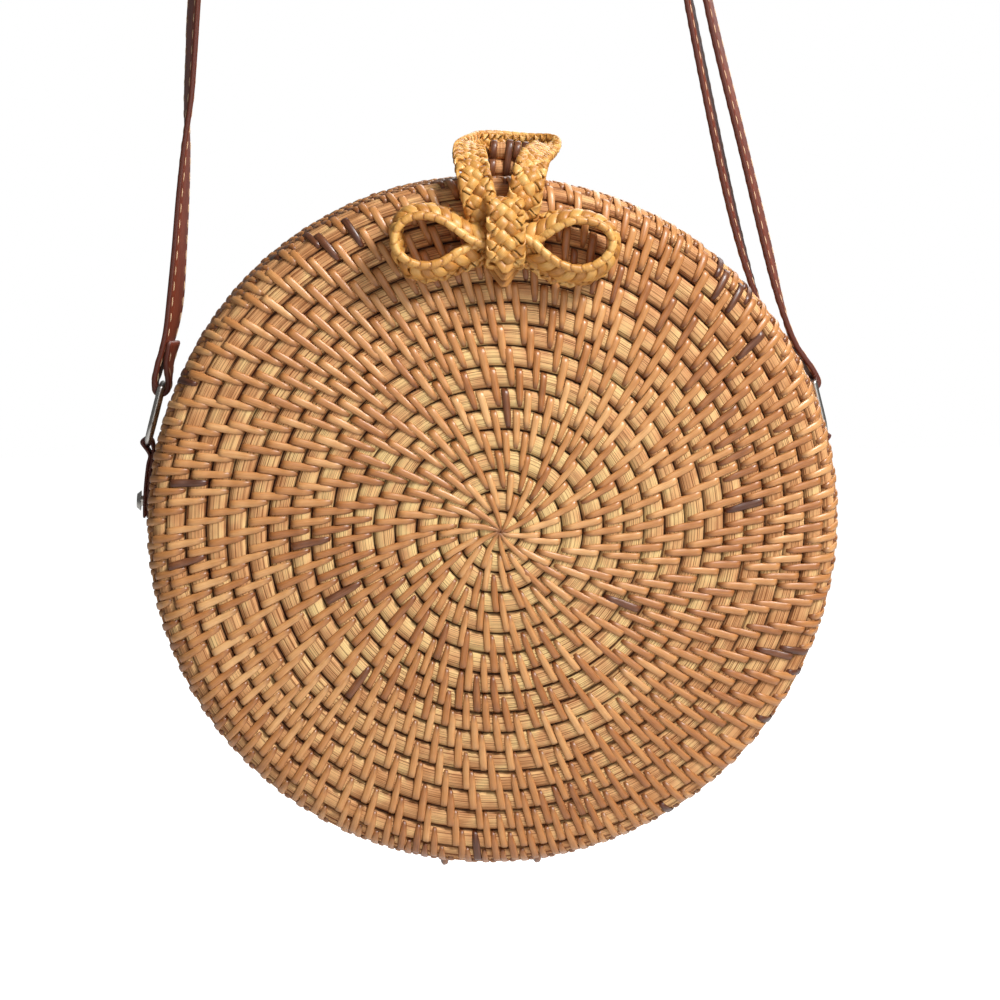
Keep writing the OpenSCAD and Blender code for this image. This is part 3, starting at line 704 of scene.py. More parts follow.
# One lobe of a loop's plait: how far along, how far in from the front edge and how high
lobe_places = np.array([
    (-0.9, 0.4, 0.1), (-0.3, 1.5, 1.3), (0.6, 3.0, 1.7), (1.5, 4.6, 1.3), (2.2, 5.8, -0.2),
]) * mm
for side, word in ((-1, "left"), (1, "right")):
    out, high, back_out, back_high, stand = smooth_run(wing_places[word], 200).T * mm
    front_edge = np.stack([bow_x + side * out, bow_back - stand, bow_z + high], -1)
    stand = np.full(200, wing_back_gap)
    back_edge = np.stack([bow_x + side * back_out, bow_back - stand, bow_z + back_high], -1)
    middle = (front_edge + back_edge) / 2
    outward = np.cross(np.gradient(middle, axis=0), front_edge - back_edge) * -side
    halves = np.linalg.norm(front_edge - back_edge, axis=1)[::10] / 2
    wing_band = Band(middle, outward)
    wing = plait("bow_loop_" + word, wing_band, halves, straw_pitch, size=1.05)
    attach(wing, "front")
    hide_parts("bow_wing_" + word)
    edge_band = Band(front_edge, outward)
    rolled_edge(
        "bow_rolled_edge_" + word, edge_band, np.linspace(0, edge_band.far[-1], 420), (0, 0),
        (roll_r, roll_r * 0.92), roll_step, slant=0.35 * side, depth=0.20, body="front",
    )
    frontward = -np.sign(wing_band.across[:, 1].mean())
    lobes = []
    for place in np.arange(lobe_ends, wing_band.far[-1] - lobe_ends, lobe_pitch):
        half = np.interp(place, np.linspace(0, wing_band.far[-1], len(halves)), halves)
        along = place + lobe_places[:, 0]
        aside = frontward * (half - lobe_places[:, 1])
        line = wing_band.at(along, aside, lobe_places[:, 2])
        above = wing_band.at(along, aside, lobe_places[:, 2] + mm)
        faced = unit(above - line) + np.outer(np.linspace(0.9, -0.4, 5), (0, -1, 0))
        lobes.append((line - np.array(bag_mid), faced, 0.45 + 0.35 * math.sin(place * 2900)))
    splints("bow_lobes_" + word, lobes, lobe_w, lobe_t, golden_straw, "front", count=14)

# The knot is the end of the same plait. It is wrapped round the middle of the bow, over its front
# and back behind both loops.
knot_half = 5.5 * mm
knot_mid_y = -36 * mm
knot_crown = 14
# How far behind the seam and how high over the knot's middle the plait lies
knot_stations = [
    (-31.4, 5.5), (-31.8, 9.0), (-35.5, 10.3), (-39.2, 8.6), (-40.5, 4.0), (-40.6, -1.5),
    (-39.6, -5.6), (-36.6, -8.0), (-32.2, -7.2), (-31.2, -3.0), (-31.2, 1.5), (-31.4, 5.0),
]
knot_line = smooth_run([(bow_x, y * mm, bow_z + z * mm) for y, z in knot_stations], 200)
knot_out = knot_line - np.array([bow_x, knot_mid_y, bow_z])
knot_band = Band(knot_line, knot_out, knot_crown)
bow_knot = plait("bow_knot_wrap", knot_band, knot_half, straw_pitch, size=1.08)
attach(bow_knot, "front")
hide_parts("bow_knot")

# The pointed foot of the knot is three flat straws, each bent to a V and laid one over the other.
# Their ends are tucked in behind the knot's edges.
foot_straw_w = 2.3 * mm
foot_straw_t = 0.9 * mm
foot_points, foot_grains, foot_shade_tones = [], [], []
for layer, (low, y) in enumerate(((-13.6, -35.0), (-11.7, -37.2), (-9.6, -39.4))):
    reach = 5.2 - 0.1 * layer
    stations = [(-reach, low + 7.6), (-reach * 0.55, low + 4.3), (-0.25, low + 0.9),
                (0.25, low + 0.9), (reach * 0.55, low + 4.3), (reach, low + 7.6)]
    line = smooth_run(
        [(bow_x + x * mm, (y + 0.16 * abs(x) + 0.05 * x * x) * mm, bow_z + z * mm) for x, z in stations], 30
    )
    band = Band(line, np.tile((0, -1, 0), (30, 1)))
    angle = np.arange(straw_around) * 2 * math.pi / straw_around
    along = band.far[:, None] + 0 * angle
    aside = foot_straw_w / 2 * np.cos(angle)[None, :] + 0 * along
    up = foot_straw_t / 2 * np.sin(angle)[None, :] + 0 * along
    foot_points.append(band.at(along, aside, up))
    foot_grains.append(np.stack([along / mm, aside / mm, 0 * aside + layer * 17], -1))
    # Painted shade: the lower straws of the foot are given darker tones
    foot_shade_tones.append(0 * along + 0.1 + 0.15 * layer)
bow_foot = object_of(
    "bow_knot_foot", np.array(foot_points), tube_faces(30, straw_around, 3), golden_straw,
    grain=np.array(foot_grains).reshape(-1, 3), tone=np.array(foot_shade_tones).ravel(),
)
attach(bow_foot, "front")

# The catch loop is the bow's same plait. Its two limbs rise from the knot, lie back over the rim
# and turn in behind the woven tongue, and the plait's own stiffness holds the bag shut.
tongue_low, tongue_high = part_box("catch_tongue")
tongue_x = (tongue_low.x + tongue_high.x) / 2 - bag_mid.x
tongue_half = (tongue_high.x - tongue_low.x) / 2
loop_side = tongue_half + 1.7 * mm
# How far aside, from the knot's middle, or from the tongue's middle as a share of loop_side, how
# far behind the seam, how high over the bag's middle, and which way the plait's face looks
limb_left_stations = [
    ("bow", -5.4, -32.6, 88, 0, -1, 0.1), ("bow", -7.0, -34.4, 94, 0, -1, 0.1),
    ("bow", -8.4, -33.4, 100.5, 0, -1, 0.35), ("bow", -8.7, -27.5, 105, 0, -0.6, 0.8),
    ("bow", -8.2, -17, 107.6, 0.1, -0.3, 1), ("bow", -7.2, -7.5, 108.3, 0.46, -0.3, 0.85),
]
limb_right_stations = [
    ("bow", 14.2, -7.5, 107.6, 0.34, -0.35, 0.9), ("bow", 12.5, -15, 106.8, 0.16, -0.6, 0.85),
    ("bow", 9.6, -24.5, 105, 0.1, -0.8, 0.7), ("bow", 7.2, -32.4, 100.5, 0.05, -1, 0.35),
    ("bow", 5.8, -34.4, 94, 0, -1, 0.1), ("bow", 5.0, -32.6, 88, 0, -1, 0.1),
]
band_stations = [
    ("tongue", -1.2, 0.5, 108.4, 0.9, -0.2, 0.42), ("tongue", -1.05, 5.0, 108.7, 0.95, -0.5, 0.08),
    ("tongue", -0.5, 7.6, 108.7, 0.1, -1, 0), ("tongue", 0.45, 7.6, 107.9, -0.1, -1, 0),
    ("tongue", 0.93, 5.2, 107.8, -0.9, -0.5, 0.1), ("tongue", 1.04, 0.5, 108.0, -0.6, -0.1, 0.75),
]
loop_stations = []
for start, aside, back, high, *face in limb_left_stations + band_stations + limb_right_stations:
    x = bow_x + aside * mm if start == "bow" else tongue_x + aside * loop_side
    loop_stations.append((x, back * mm, high * mm, *face))
loop_line = smooth_run(loop_stations, 360)
loop_band = Band(loop_line[:, :3], loop_line[:, 3:])
loop_halves = np.array([4.9, 4.9, 4.7, 3.5, 3.8, 3.9, 3.8, 4.2, 4.8, 4.9]) * mm
loop_pitches = np.array([4.2, 3.7, 2.8, 2.4, 2.5, 3.1, 4.4]) * mm
loop_plait = plait("catch_loop_plait", loop_band, loop_halves, loop_pitches, size=1.17)
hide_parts("loop_limb_left", "loop_limb_right", "catch_loop")
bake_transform(loop_plait)

# Behind the tongue the plait stands on edge, and its upper edge is rolled like the bow's
roll_along = np.linspace(0.31, 0.70, 180) * loop_band.far[-1]
roll_aside = np.interp(roll_along, np.linspace(0, loop_band.far[-1], len(loop_halves)), loop_halves)
roll_fade = 0.92 * mm * np.sin(np.linspace(0.06, math.pi - 0.06, 180))[:, None] ** 0.3
rolled_edge(
    "catch_loop_rolled_edge", loop_band, roll_along, (roll_aside[:, None] - 0.45 * mm, 0.2 * mm),
    (roll_fade, roll_fade), 2.6 * mm, slant=0.3, depth=0.18, body="loop",
)

# The woven tongue stands on the back shell's rim and fills the loop. It is two short turns of the
# same reeds, bound with dark splints, and two long splints go round both turns together.
tongue_half_deep = (tongue_high.y - tongue_low.y) / 2
tongue_y = (tongue_high.y + tongue_low.y) / 2 - bag_mid.y
tongue_rise = tongue_high.z - bag_mid.z - shell_r - 1.7 * mm
tongue_row = tongue_rise / 4
tongue_end_share = 0.25
tongue_seat = shell_r - 0.3 * mm
tongue_splint_w = 2.0 * mm
tongue_splint_t = 0.75 * mm
core_rings = 30
core_around = 20
reed_round = np.arange(core_around) * 2 * math.pi / core_around
core_points, core_grain = [], []
for row in (0, 1):
    row_r = tongue_seat + tongue_row * (1 + 2 * row)
    reach = tongue_half - 0.4 * mm
    for share in np.linspace(-1, 1, core_rings):
        angle = math.pi / 2 - (tongue_x + share * reach) / row_r
        swell = min(1, (1 - abs(share)) / tongue_end_share + 0.02) ** 0.4
        bumps = 1 + 0.035 * np.cos(reed_round * 8)
        lift = row_r + (tongue_row - 0.1 * mm) * 1.04 * swell * bumps * np.cos(reed_round)
        back = tongue_y + (tongue_half_deep - 0.3 * mm) * swell * bumps * np.sin(reed_round)
        core_points.append(
            np.stack([lift * math.cos(angle), back, lift * math.sin(angle)], -1) + np.array(bag_mid)
        )
        along = share * reach / mm
        core_grain.append(np.stack([0 * lift + along / 12, 0 * lift, reed_round * 2.2 + 40 * row], -1))
tongue = object_of(
    "tongue_reeds", np.array(core_points), tube_faces(core_rings, core_around, 2, flipped=True), pale_reed,
    grain=np.array(core_grain).reshape(-1, 3), reach=np.full(2 * core_rings * core_around, 1.0),
)
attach(tongue, "back")


def round_rows(aside, lean_over, low_row, high_row, swell=1.0):
    """A closed line round one turn of the tongue, or round both, and the way out from it."""
    middle = tongue_seat + tongue_row * (low_row + high_row + 1)
    high = tongue_row * (high_row - low_row + 1) + 0.32 * mm * swell
    deep = tongue_half_deep + 0.02 * mm
    line, face = [], []
    for t in np.linspace(0, 2 * math.pi, 17):
        square = 0.72 if high_row > low_row else 0.95
        up = high * math.copysign(abs(math.cos(t)) ** square, math.cos(t))
        back = tongue_y + deep * math.copysign(abs(math.sin(t)) ** square, math.sin(t))
        angle = math.pi / 2 - (tongue_x + aside + lean_over * math.cos(t)) / middle
        line.append(((middle + up) * math.cos(angle), back, (middle + up) * math.sin(angle)))
        face.append((0, math.sin(t) / deep * mm, math.cos(t) / high * mm))
    return np.array(line), np.array(face)


# How far aside of the tongue's middle each splint lies, and its tone
upper_wraps = [(-6.3, 0.12), (0.4, 0.18), (2.7, 0.10), (6.7, 0.2)]
lower_wraps = [(-6.7, 0.25), (0.5, 0.12), (2.8, 0.25), (6.8, 0.12)]
tall_wraps = [(-2.1, 0.10), (4.7, 0.2)]
wraps = [(*round_rows(x * mm, 0.3 * mm, 1, 1), tone) for x, tone in upper_wraps]
wraps += [(*round_rows(x * mm, 0.2 * mm, 0, 0), tone) for x, tone in lower_wraps]
wraps += [(*round_rows(x * mm, 0.5 * mm, 0, 1, swell=1.9), tone) for x, tone in tall_wraps]
tongue_wraps = splints(
    "tongue_wraps", wraps, tongue_splint_w, tongue_splint_t, rattan_skin, "back"
)
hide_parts("catch_tongue")

# Two rings of wound splint hinge the shells at the bottom. Each is a few turns of one splint,
# passed through both last turns and pulled tight.
hinge_lays = 5
hinge_splint_w = 1.15 * mm
hinge_splint_t = 0.8 * mm
hinge_splint_in = 0.42 * mm
for side, word in ((-1, "left"), (1, "right")):
    ring_low, ring_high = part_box("hinge_ring_" + word)
    ring_mid = (ring_low + ring_high) / 2 - bag_mid
    ring_tube = (ring_high.x - ring_low.x) / 2
    ring_turn = (ring_high.z - ring_low.z) / 2 - ring_tube
    turns = []
    for lay in range(hinge_lays):
        lay_angle = lay * 2 * math.pi / hinge_lays + 0.4
        line, face = [], []
        for t in np.linspace(0, 2 * math.pi, 33):
            wind = lay_angle + t * 2 / hinge_lays
            far = ring_turn + (ring_tube - hinge_splint_in) * math.cos(wind)
            line.append((ring_mid.x + (ring_tube - hinge_splint_in) * math.sin(wind),
                         ring_mid.y + far * math.cos(t), ring_mid.z + far * math.sin(t)))
            face.append((math.sin(wind), math.cos(wind) * math.cos(t), math.cos(wind) * math.sin(t)))
        turns.append((np.array(line), np.array(face), 0.15 + 0.05 * lay))
    hinge_turns = splints(
        "hinge_turns_" + word, turns, hinge_splint_w, hinge_splint_t,
        rattan_skin, "back", count=60,
    )
    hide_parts("hinge_ring_" + word)

# A cotton lining is cut as a round piece and a strip, sewn together, and stitched inside each
# shell a little behind its rim.
lining_gap = 0.3 * mm
lining_sink = wall_t + lining_gap
lining_t = 0.8 * mm
lining_in = 7 * mm
lining_ease = 0.18 * mm
hem_w = 4 * mm
hem_t = 0.25 * mm
lining_steps = 96
cotton = Finish("lining_cotton", roughness=0.92, specular_ior_level=0.15)
cotton_grain = cotton.grain()
cotton_warp = cotton.noise(cotton.stretched(cotton_grain, 2.2, 0.3, 1), 1.0, 1.0)
cotton_weft = cotton.noise(cotton.stretched(cotton_grain, 0.3, 2.2, 1), 1.0, 1.0)
cotton_cloud = cotton.noise(cotton_grain, 0.05, 3.0)
plain_cotton = cotton.wear(
    base_color=cotton.mix(
        (cotton_warp + cotton_weft) * 0.35 + cotton_cloud * 0.3,
        srgb(176, 160, 134), srgb(226, 214, 190),
    ),
    normal=cotton.bumped(cotton_warp - cotton_weft, 0.00008, 0.7),
)
for depth, side, word in ((front_depth, 1, "front"), (back_depth, -1, "back")):
    s = np.linspace(0.02 * mm, shell_len(depth) - lining_in, 90)
    radius, height, out, up = shell_path(s, depth)
    hem = np.clip((s - s[-1] + hem_w) / (0.6 * mm), 0, 1) * hem_t
    angle = np.linspace(0, 2 * math.pi, lining_steps + 1)[:-1]
    ease = lining_ease * np.sin(angle * 9 + 1)[:, None] * (np.sin(s * 160) * s / s[-1])[None, :] ** 2
    rows = []
    for sink in (lining_sink + 0 * s, lining_sink + lining_t + hem):
        far = (radius - out * sink)[None, :] + ease * out[None, :]
        tall = (height - up * sink)[None, :] + ease * up[None, :]
        rows.append(np.stack([
            side * far * np.cos(angle)[:, None], -side * tall, far * np.sin(angle)[:, None]
        ], -1))
    both = np.concatenate([rows[0], rows[1][:, ::-1]], 1) + np.array(bag_mid)
    disc = radius < shell_r - corner_r
    flat_x = np.where(disc, radius[None, :] * np.cos(angle)[:, None], angle[:, None] * shell_r)
    flat_z = np.where(disc, radius[None, :] * np.sin(angle)[:, None], s[None, :])
    weave = np.stack([flat_x, flat_z, 0 * flat_x], -1) / mm
    lining = object_of(
        word + "_cotton", both, bowl_faces(lining_steps, both.shape[1], side < 0), plain_cotton,
        grain=np.concatenate([weave, weave[:, ::-1]], 1).reshape(-1, 3),
    )
    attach(lining, word)
    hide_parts(word + "_lining")
    round_r = shell_r - lining_sink
    strip = depth - crown - wall_t - lining_in
    2 * round_r + 2 * strip
    word + "_coils"

# The strap is one long band of brown leather with burnished edges and a row of pale thread along
# each. It goes round both rings' bars and over whatever the bag hangs from, and its right end
# runs back up to the slide.
strap_low, strap_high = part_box("strap")
strap_half = (strap_high.y - strap_low.y) / 2
strap_y = (strap_high.y + strap_low.y) / 2 - bag_mid.y
strap_t = 1.6 * mm
wire_r = 1.0 * mm
bar_gap = 0.1 * mm
fold_r = wire_r + bar_gap + strap_t / 2
peg_r = 12 * mm
top_bend_r = peg_r + strap_t / 2
thread_in = 1.25 * mm
thread_pitch = 4.5 * mm
thread_len = 2.9 * mm
thread_w = 0.55 * mm
thread_t = 0.44 * mm
thread_rise = 0.12 * mm
thread_sunk = 0.16 * mm
# So that a degree of turning counts for little beside a length
turning_step = 0.05 * mm
# From an edge of the leather to its middle: across it and through it, as shares of its half width
# and its half thickness, with the groove that the thread lies in
leather_edge = [
    (1, 0.30), (0.985, 0.72), (0.93, 0.96), (0.86, 1.0), (0.825, 1.0), (0.79, 0.80),
    (0.755, 1.0), (0.45, 1.03), (0, 1.05),
]
half_round = leather_edge + [(-a, b) for a, b in leather_edge[-2::-1]]
leather_round = np.array(half_round + [(-a, -b) for a, b in half_round])


def leather_line(stations, y, count):
    """A band's middle line and face, from places in the strap's plane and its turning in degrees."""
    run = smooth_run(np.array(stations) * (1, 1, turning_step), count)
    step = unit(np.gradient(run[:, :2], axis=0))
    turn = np.radians(run[:, 2:] / turning_step)
    flat = np.stack([-step[:, 1], 0 * step[:, 0], step[:, 0]], -1)
    face = flat * np.cos(turn) + np.array([0, 1, 0]) * np.sin(turn)
    middle = np.stack([run[:, 0], np.full(count, y), run[:, 1]], -1)
    return Band(middle, face)


def leather_band(name, band, half, thick, body, node, ends=1.2 * mm):
    """The leather itself, with rounded edges, a groove along each for the thread, and soft ends."""
    far = band.far
    close = np.minimum(far, far[-1] - far)
    taper = np.clip(close / ends, 0, 1)[:, None]
    taper = np.sqrt(1 - (1 - taper) ** 2) * 0.5 + 0.5
    along = far[:, None] + 0 * leather_round[:, 0]
    aside = leather_round[None, :, 0] * half * (0.94 + 0.06 * taper)
    up = leather_round[None, :, 1] * thick / 2 * taper
    grain = np.stack([along / mm, aside / mm, 20 * np.sign(leather_round[:, 1]) + 0 * along], -1)
    made = object_of(
        name, band.at(along, aside, up), tube_faces(len(far), len(leather_round)), brown_leather,
        grain=grain.reshape(-1, 3),
        worn=(np.clip((np.abs(leather_round[:, 0]) - 0.9) / 0.08, 0, 1) + 0 * along).ravel(),
    )
    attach(made, body)
    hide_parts(node)
    return made


def thread_rows(name, band, half, thick, body, start, end, faces=(-1, 1), pitch=thread_pitch):
    """Stitches along both edges, each dipping into the leather at its two ends."""
    points, grains = [], []
    around = np.arange(6) * math.pi / 3
    share = np.linspace(0, 1, 7)
    lift = np.sin(math.pi * share) ** 0.5 * thread_rise - thread_sunk
    size = np.interp(share, [0, 0.12, 0.5, 0.88, 1], [0.55, 0.9, 1, 0.9, 0.55])[:, None]
    for place in np.arange(start, end - thread_len, pitch):
        far = (place + share * thread_len)[:, None] + 0 * around
        for edge in (-1, 1):
            for face in faces:
                aside = edge * (half - thread_in) + np.linspace(-0.08, 0.08, 7) * mm * face
                ring_aside = aside[:, None] + thread_w / 2 * size * np.cos(around)
                ring_up = face * (thick / 2 + lift)[:, None]
                ring_up = ring_up + thread_t / 2 * size * np.sin(around) * face
                if face * edge > 0:
                    ring_aside = ring_aside[:, ::-1]
                    ring_up = ring_up[:, ::-1]
                points.append(band.at(far, ring_aside, ring_up))
                grains.append(np.stack([far / mm, ring_aside / mm, ring_up / mm], -1))
    made = object_of(
        name, np.array(points), tube_faces(7, 6, len(points)), pale_thread,
        grain=np.array(grains).reshape(-1, 3),
    )
    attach(made, body)
    return made


hide = Finish("brown_leather", specular_ior_level=0.5, coat_roughness=0.35)
hide_grain = hide.grain()
hide_pores = hide.noise(hide.stretched(hide_grain, 1.6, 1.9, 1), 1.0, 4.0, 0.65)
hide_cloud = hide.noise(hide.stretched(hide_grain, 0.05, 0.16, 1), 1.0, 3.0)
hide_worn = hide.mark("worn")
hide_tone = hide.ramp(
    hide_cloud * 0.7 + hide_pores * 0.35,
    (0.28, srgb(84, 34, 20)), (0.50, srgb(118, 52, 32)), (0.75, srgb(146, 72, 46)),
)
brown_leather = hide.wear(
    base_color=hide.mix(hide_worn * (0.35 + hide_cloud * 0.5), hide_tone, srgb(62, 24, 15)),
    roughness=0.38 + hide_pores * 0.20 - hide_worn * 0.08,
    coat_weight=0.12 + hide_cloud * 0.15,
    normal=hide.bumped(hide_pores, 0.00009, 0.7),
)
twine = Finish("pale_thread", roughness=0.75, specular_ior_level=0.3)
twine_grain = twine.grain()
twine_twist = twine.noise(twine.stretched(twine_grain, 1.7, 1.1, 1.1), 1.6, 1.0)
pale_thread = twine.wear(
    base_color=twine.mix(twine_twist, srgb(190, 148, 106), srgb(238, 208, 170)),
    normal=twine.bumped(twine_twist, 0.00012, 0.8),
)


def ray(angle):
    return np.array([math.cos(angle), math.sin(angle)])


def touching(low, low_r, high, high_r, side):
    """The angle at which a belt round two circles leaves both."""
    across, rise = high - low
    spread = math.asin((low_r - high_r) / math.hypot(across, rise))
    return math.atan2(rise, across) + side * (math.pi / 2 - spread)


def by_bar(strand, away, high, turned=0):
    """A station of the leather beside a strand's bar: how far out from it and how high over it."""
    bar, out, up = strand
    return (*(bar + out * away + up * high), turned)


def bend(middle, radius, angles):
    """Stations round a bend of the leather, which isn't turned there."""
    return [(*(middle + radius * ray(angle)), 0) for angle in angles]


# The bars of both rings and the middle of the top bend, in the strap's plane
left_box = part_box("strap_ring_left")
right_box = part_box("strap_ring_right")
bar_left = np.array([left_box[1].x - wire_r - bag_mid.x, left_box[1].z - wire_r - bag_mid.z])
bar_right = np.array([right_box[0].x + wire_r - bag_mid.x, right_box[1].z - wire_r - bag_mid.z])
top_mid = np.array([-bag_mid.x, strap_high.z - strap_t - peg_r - bag_mid.z])
left_angle = touching(bar_left, fold_r, top_mid, top_bend_r, 1)
right_angle = touching(bar_right, fold_r, top_mid, top_bend_r, -1)
left_out, left_up = ray(left_angle), ray(left_angle - math.pi / 2)
right_out, right_up = ray(right_angle), ray(right_angle + math.pi / 2)
left_run = np.linalg.norm(top_mid + left_out * top_bend_r - bar_left - left_out * fold_r)
right_run = np.linalg.norm(top_mid + right_out * top_bend_r - bar_right - right_out * fold_r)
left_strand = (bar_left, left_out, left_up)
right_strand = (bar_right, right_out, right_up)
# Height over the bar, how far the leather lies in toward the bag there, and how it is turned
tail_places = [(13.5, 2.45, -12), (10.5, 1.95, -9), (7, 1.5, -6), (3.5, 1.75, -2), (1.5, 1.9, 0)]
left_places = [
    (2, 0.0, 2), (6, 0.8, 6), (11, 2.1, 9), (17, 3.2, 13), (26, 3.8, 16.5), (40, 3.8, 13.5),
    (55, 3.6, 10.5), (69, 3.4, 4), (77, 3.2, -4), (85, 3.1, -10), (98, 2.8, -12.5),
    (116, 2.4, -14), (211, 1.4, -10), (330, 0.6, -5),
]
right_places = [
    (2, 0.3, 0), (5, 1.1, -1), (9, 2.4, -4), (14, 3.6, -7), (26, 4.4, -14), (42, 4.3, -19),
    (70, 4.0, -19), (110, 3.8, -18), (150, 2.2, -11), (188, 0.3, -3), (222, 0, 0), (260, 0, 0),
    (330, 0, 0),
]
# Below the top bend, how far back from it and how the leather is turned there
easing = [(85, 3), (55, 2), (32, 1), (18, 0), (9, 0), (4, 0)]
stations = [by_bar(left_strand, -inward * mm, up * mm, turned) for up, inward, turned in tail_places]
stations += bend(bar_left, fold_r, left_angle + np.radians(np.linspace(180, 0, 9)))
for up, inward, turned in left_places:
    stations.append(by_bar(left_strand, fold_r - inward * mm, up * mm, turned))
for back, turned in easing:
    stations.append(by_bar(left_strand, fold_r, left_run - back * mm, -turned))
stations += bend(top_mid, top_bend_r, np.linspace(left_angle, right_angle, 15))
for back, turned in easing[::-1]:
    stations.append(by_bar(right_strand, fold_r, right_run - back * mm, -turned))
for up, inward, turned in right_places[::-1]:
    stations.append(by_bar(right_strand, fold_r - inward * mm, up * mm, turned))
stations += bend(bar_right, fold_r, right_angle - np.radians(np.linspace(0, 180, 9)))
strap_line = leather_line(stations, strap_y, 1500)
leather_band("strap_band", strap_line, strap_half, strap_t, "strap", "strap")
thread_rows("strap_thread", strap_line, strap_half, strap_t, "strap", 3 * mm, strap_line.far[-1] - 1 * mm)

# The strap's right end is doubled back. It runs up beside itself from the ring to the slide, and lies
# against the bag's wall on the way.
slide_gap = 0.3 * mm
slide_bar_r = 1.1 * mm
slide_set = strap_t + slide_gap + bar_gap + slide_bar_r
slide_line = bar_right + right_out * (fold_r - slide_set)
slide_strand = (slide_line, right_out, right_up)
foot_up = (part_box("slide_fold")[0].z - bag_mid.z - slide_line[1]) / right_up[1]
return_places = [
    (0, 0, 0), (1.5, 0.1, 0), (6, 0.9, 0), (11, 2.8, 1), (18, 5.1, 4), (26, 6.9, 9),
    (42, 7.9, 15), (62, 7.8, 18), (90, 6.7, 18), (120, 5.2, 16), (155, 3.2, 10),
]
return_ends = [(14, 4), (5, 1), (0.4, 0)]
stations = []
for up, inward, turned in return_places:
    stations.append(by_bar(right_strand, -fold_r - inward * mm, up * mm, turned))
for back, turned in return_ends:
    stations.append(by_bar(slide_strand, 0, foot_up - back * mm, turned))
return_line = leather_line(stations, strap_y, 300)
return_piece = leather_band(
    "strap_return_band", return_line, strap_half, strap_t, "strap", "strap_return", 0.1 * mm
)
return_thread = thread_rows(
    "strap_return_thread", return_line, strap_half, strap_t, "strap", 2 * mm, return_line.far[-1] - 1 * mm
)
for piece in (return_piece, return_thread):
    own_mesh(piece)

# The end of the leather is thinned, folded round the slide's bar and stitched to itself, so that
# the slide hangs on it.
fold_t = strap_t / 2
fold_len = 15 * mm
bar_fold_r = slide_bar_r + bar_gap + fold_t / 2
leaf_gap = fold_t / 2 + 0.075 * mm
# How far up from the fold's foot, and how far each of its two leaves lies from its middle
leaf_places = [
    (0, leaf_gap), (3, leaf_gap), (7.5, leaf_gap), (11, leaf_gap + 0.2 * mm), (13, bar_fold_r * 0.85),
]
fold_bar = slide_line + right_up * (foot_up + fold_len)
stations = [by_bar(slide_strand, gap, foot_up + back * mm) for back, gap in leaf_places]
stations += bend(fold_bar, bar_fold_r, right_angle + np.radians(np.linspace(0, 180, 9)))
stations += [by_bar(slide_strand, -gap, foot_up + back * mm) for back, gap in leaf_places[::-1]]
fold_line = leather_line(stations, strap_y, 120)
leather_band("slide_fold_band", fold_line, strap_half, fold_t, "slide", "slide_fold", 0.4 * mm)
thread_rows("slide_fold_thread", fold_line, strap_half, fold_t, "slide", 1 * mm, 12 * mm, (-1,))

# Each tab is a short leather strip. It is doubled round the ring's bow, laid on the wall of the
# back shell and fixed through it by one dome-headed rivet.
tab_t = 0.9 * mm
tab_lift = 0.3 * mm
tab_bow_in = 2.7 * mm
tab_thread_pitch = 3.4 * mm
tab_thread_run = 19 * mm
for side, word in ((-1, "left"), (1, "right")):
    tab_low, tab_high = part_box("strap_tab_" + word)
    tab_y = (tab_low.y + tab_high.y) / 2 - bag_mid.y
    tab_half = (tab_high.y - tab_low.y) / 2
    loop_r = wire_r + bar_gap + tab_t / 2
    loop_x = max(abs(tab_low.x - bag_mid.x), abs(tab_high.x - bag_mid.x)) - tab_bow_in
    loop_z = tab_high.z - bag_mid.z - tab_bow_in
    top = math.atan2(loop_z, loop_x)
    foot = math.asin((tab_low.z - bag_mid.z) / (shell_r + tab_t))
    inner_r = shell_r + tab_lift + tab_t / 2
    outer_r = shell_r + tab_lift + 0.1 * mm + tab_t * 1.5
    stations = bend(np.zeros(2), inner_r, foot + (top - foot) * np.linspace(0, 0.93, 8))
    stations += bend(np.array([loop_x, loop_z]), loop_r, np.radians(np.linspace(165, 20, 8)))
    stations += bend(np.zeros(2), outer_r, foot + (top - foot) * np.linspace(0.88, 0, 8))
    tab_line = leather_line(np.array(stations) * (side, 1, 1), tab_y, 160)
    leather_band("tab_leather_" + word, tab_line, tab_half, tab_t, "back", "strap_tab_" + word, 0.5 * mm)
    thread_rows(
        "tab_thread_" + word, tab_line, tab_half, tab_t, "back",
        tab_line.far[-1] - tab_thread_run, tab_line.far[-1] - 1.5 * mm, (-side,), tab_thread_pitch,
    )

# Rings, slide and rivets are steel with bright nickel, scratched a little all over. Their
# shapes are the imported solids' own, so only the metal is put on here.
steel = Finish("bright_nickel", metallic=1.0, specular_ior_level=0.5)
steel_place = steel.add("ShaderNodeTexCoord", {}, {}, "Object")
steel_scratch = steel.noise(steel.stretched(steel_place, 900, 900, 260), 1.0, 3.0, 0.7)
steel_cloud = steel.noise(steel_place, 160, 2.0)
bright_nickel = steel.wear(
    base_color=steel.mix(steel_cloud, srgb(196, 190, 182), srgb(226, 222, 216)),
    roughness=0.16 + steel_scratch * 0.16 + steel_cloud * 0.08,
    normal=steel.bumped(steel_scratch, 0.00002, 0.4),
)
for node in ("strap_ring_left", "strap_ring_right", "strap_slide", "tab_rivet_left", "tab_rivet_right"):
    metal = bpy.data.objects[node]
    metal.data.materials.clear()
    metal.data.materials.append(bright_nickel)

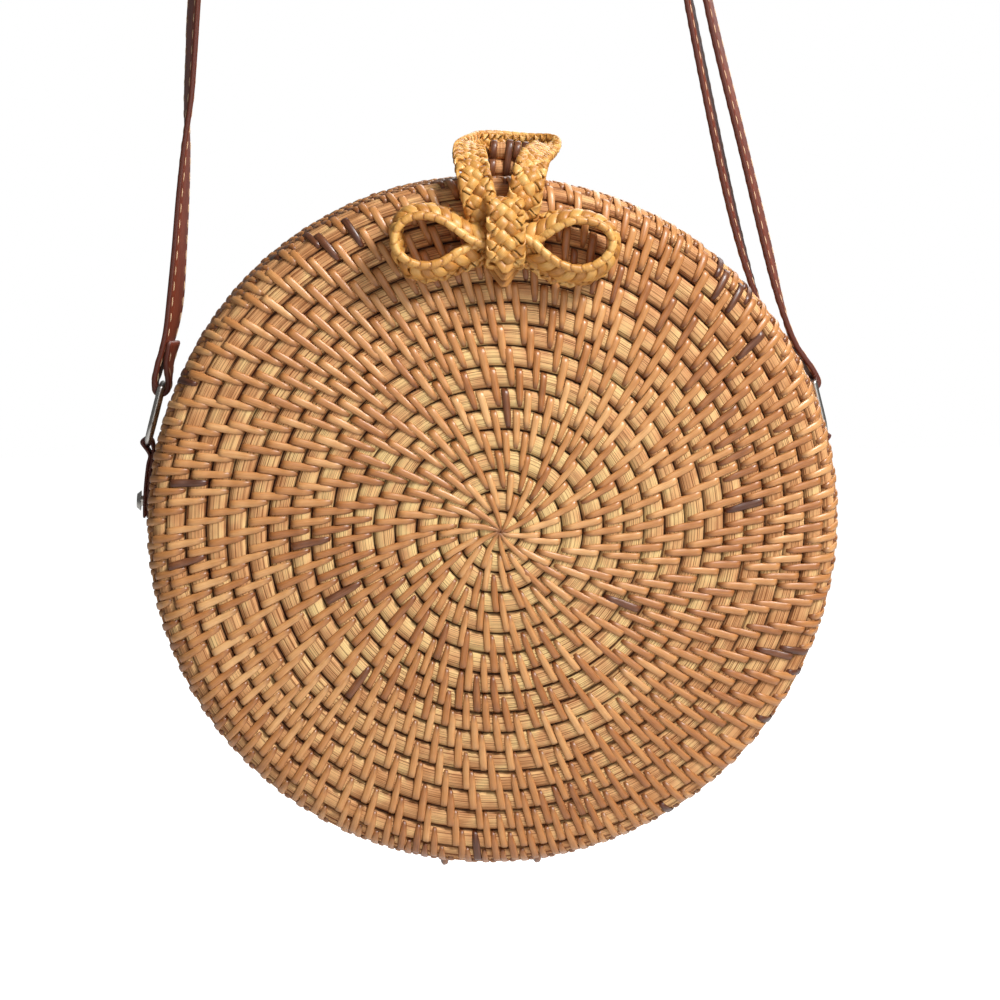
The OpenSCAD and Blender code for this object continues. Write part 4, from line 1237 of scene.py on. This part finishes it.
# The photograph's light is soft and comes from above and in front. A pale floor lies well below
# the hanging bag, and the full white behind it is only for the camera.
light_all_round = 0.13
white_behind = 1.0


def area_lamp(name, place, size, watts):
    """A square lamp at a place counted from the bag's middle, turned towards it."""
    lamp = bpy.data.objects.new(name, bpy.data.lights.new(name, "AREA"))
    lamp.data.energy = watts
    lamp.data.size = size
    lamp.location = bag_mid + Vector(place)
    lamp.rotation_euler = (lamp.location - bag_mid).to_track_quat("Z", "Y").to_euler()
    bpy.context.collection.objects.link(lamp)


area_lamp("key_lamp", (0.44, -0.50, 0.66), 0.28, 10.5)
area_lamp("front_lamp", (0.3, -1.5, 0.35), 1.2, 5)
area_lamp("rear_lamp", (0.6, 1.2, 0.9), 1.0, 12)

world = bpy.data.worlds.new("studio")
bpy.context.scene.world = world
world.use_nodes = True
sky = world.node_tree.nodes
sky_links = world.node_tree.links
rays = sky.new("ShaderNodeLightPath")
strength = sky.new("ShaderNodeMapRange")
strength.inputs["To Min"].default_value = light_all_round
strength.inputs["To Max"].default_value = white_behind
sky_links.new(rays.outputs["Is Camera Ray"], strength.inputs["Value"])
sky["Background"].inputs["Color"].default_value = (1, 1, 1, 1)
sky_links.new(strength.outputs[0], sky["Background"].inputs["Strength"])

floor_drop = 0.25
floor_half = 3.0
floor_z = back_low.z - floor_drop
floor_finish = Finish("pale_floor", roughness=0.9, specular_ior_level=0.1, emission_strength=1.0)
floor_camera = floor_finish.add("ShaderNodeLightPath", {}, {}, "Is Camera Ray")
floor_mottle = floor_finish.noise(floor_finish.add("ShaderNodeTexCoord", {}, {}, "Object"), 6)
pale_floor = floor_finish.wear(
    base_color=floor_finish.mix(floor_mottle, (0.93, 0.93, 0.93), (0.95, 0.95, 0.95)),
    emission_color=floor_finish.mix(floor_camera, (0, 0, 0), (0.9, 0.9, 0.9)),
)
floor = object_of(
    "floor",
    [(bag_mid.x + x * floor_half, bag_mid.y + y * floor_half, floor_z)
     for x, y in ((-1, -1), (1, -1), (1, 1), (-1, 1))],
    [(0, 1, 2, 3)], pale_floor,
)

bpy.context.scene.view_settings.view_transform = "Standard"
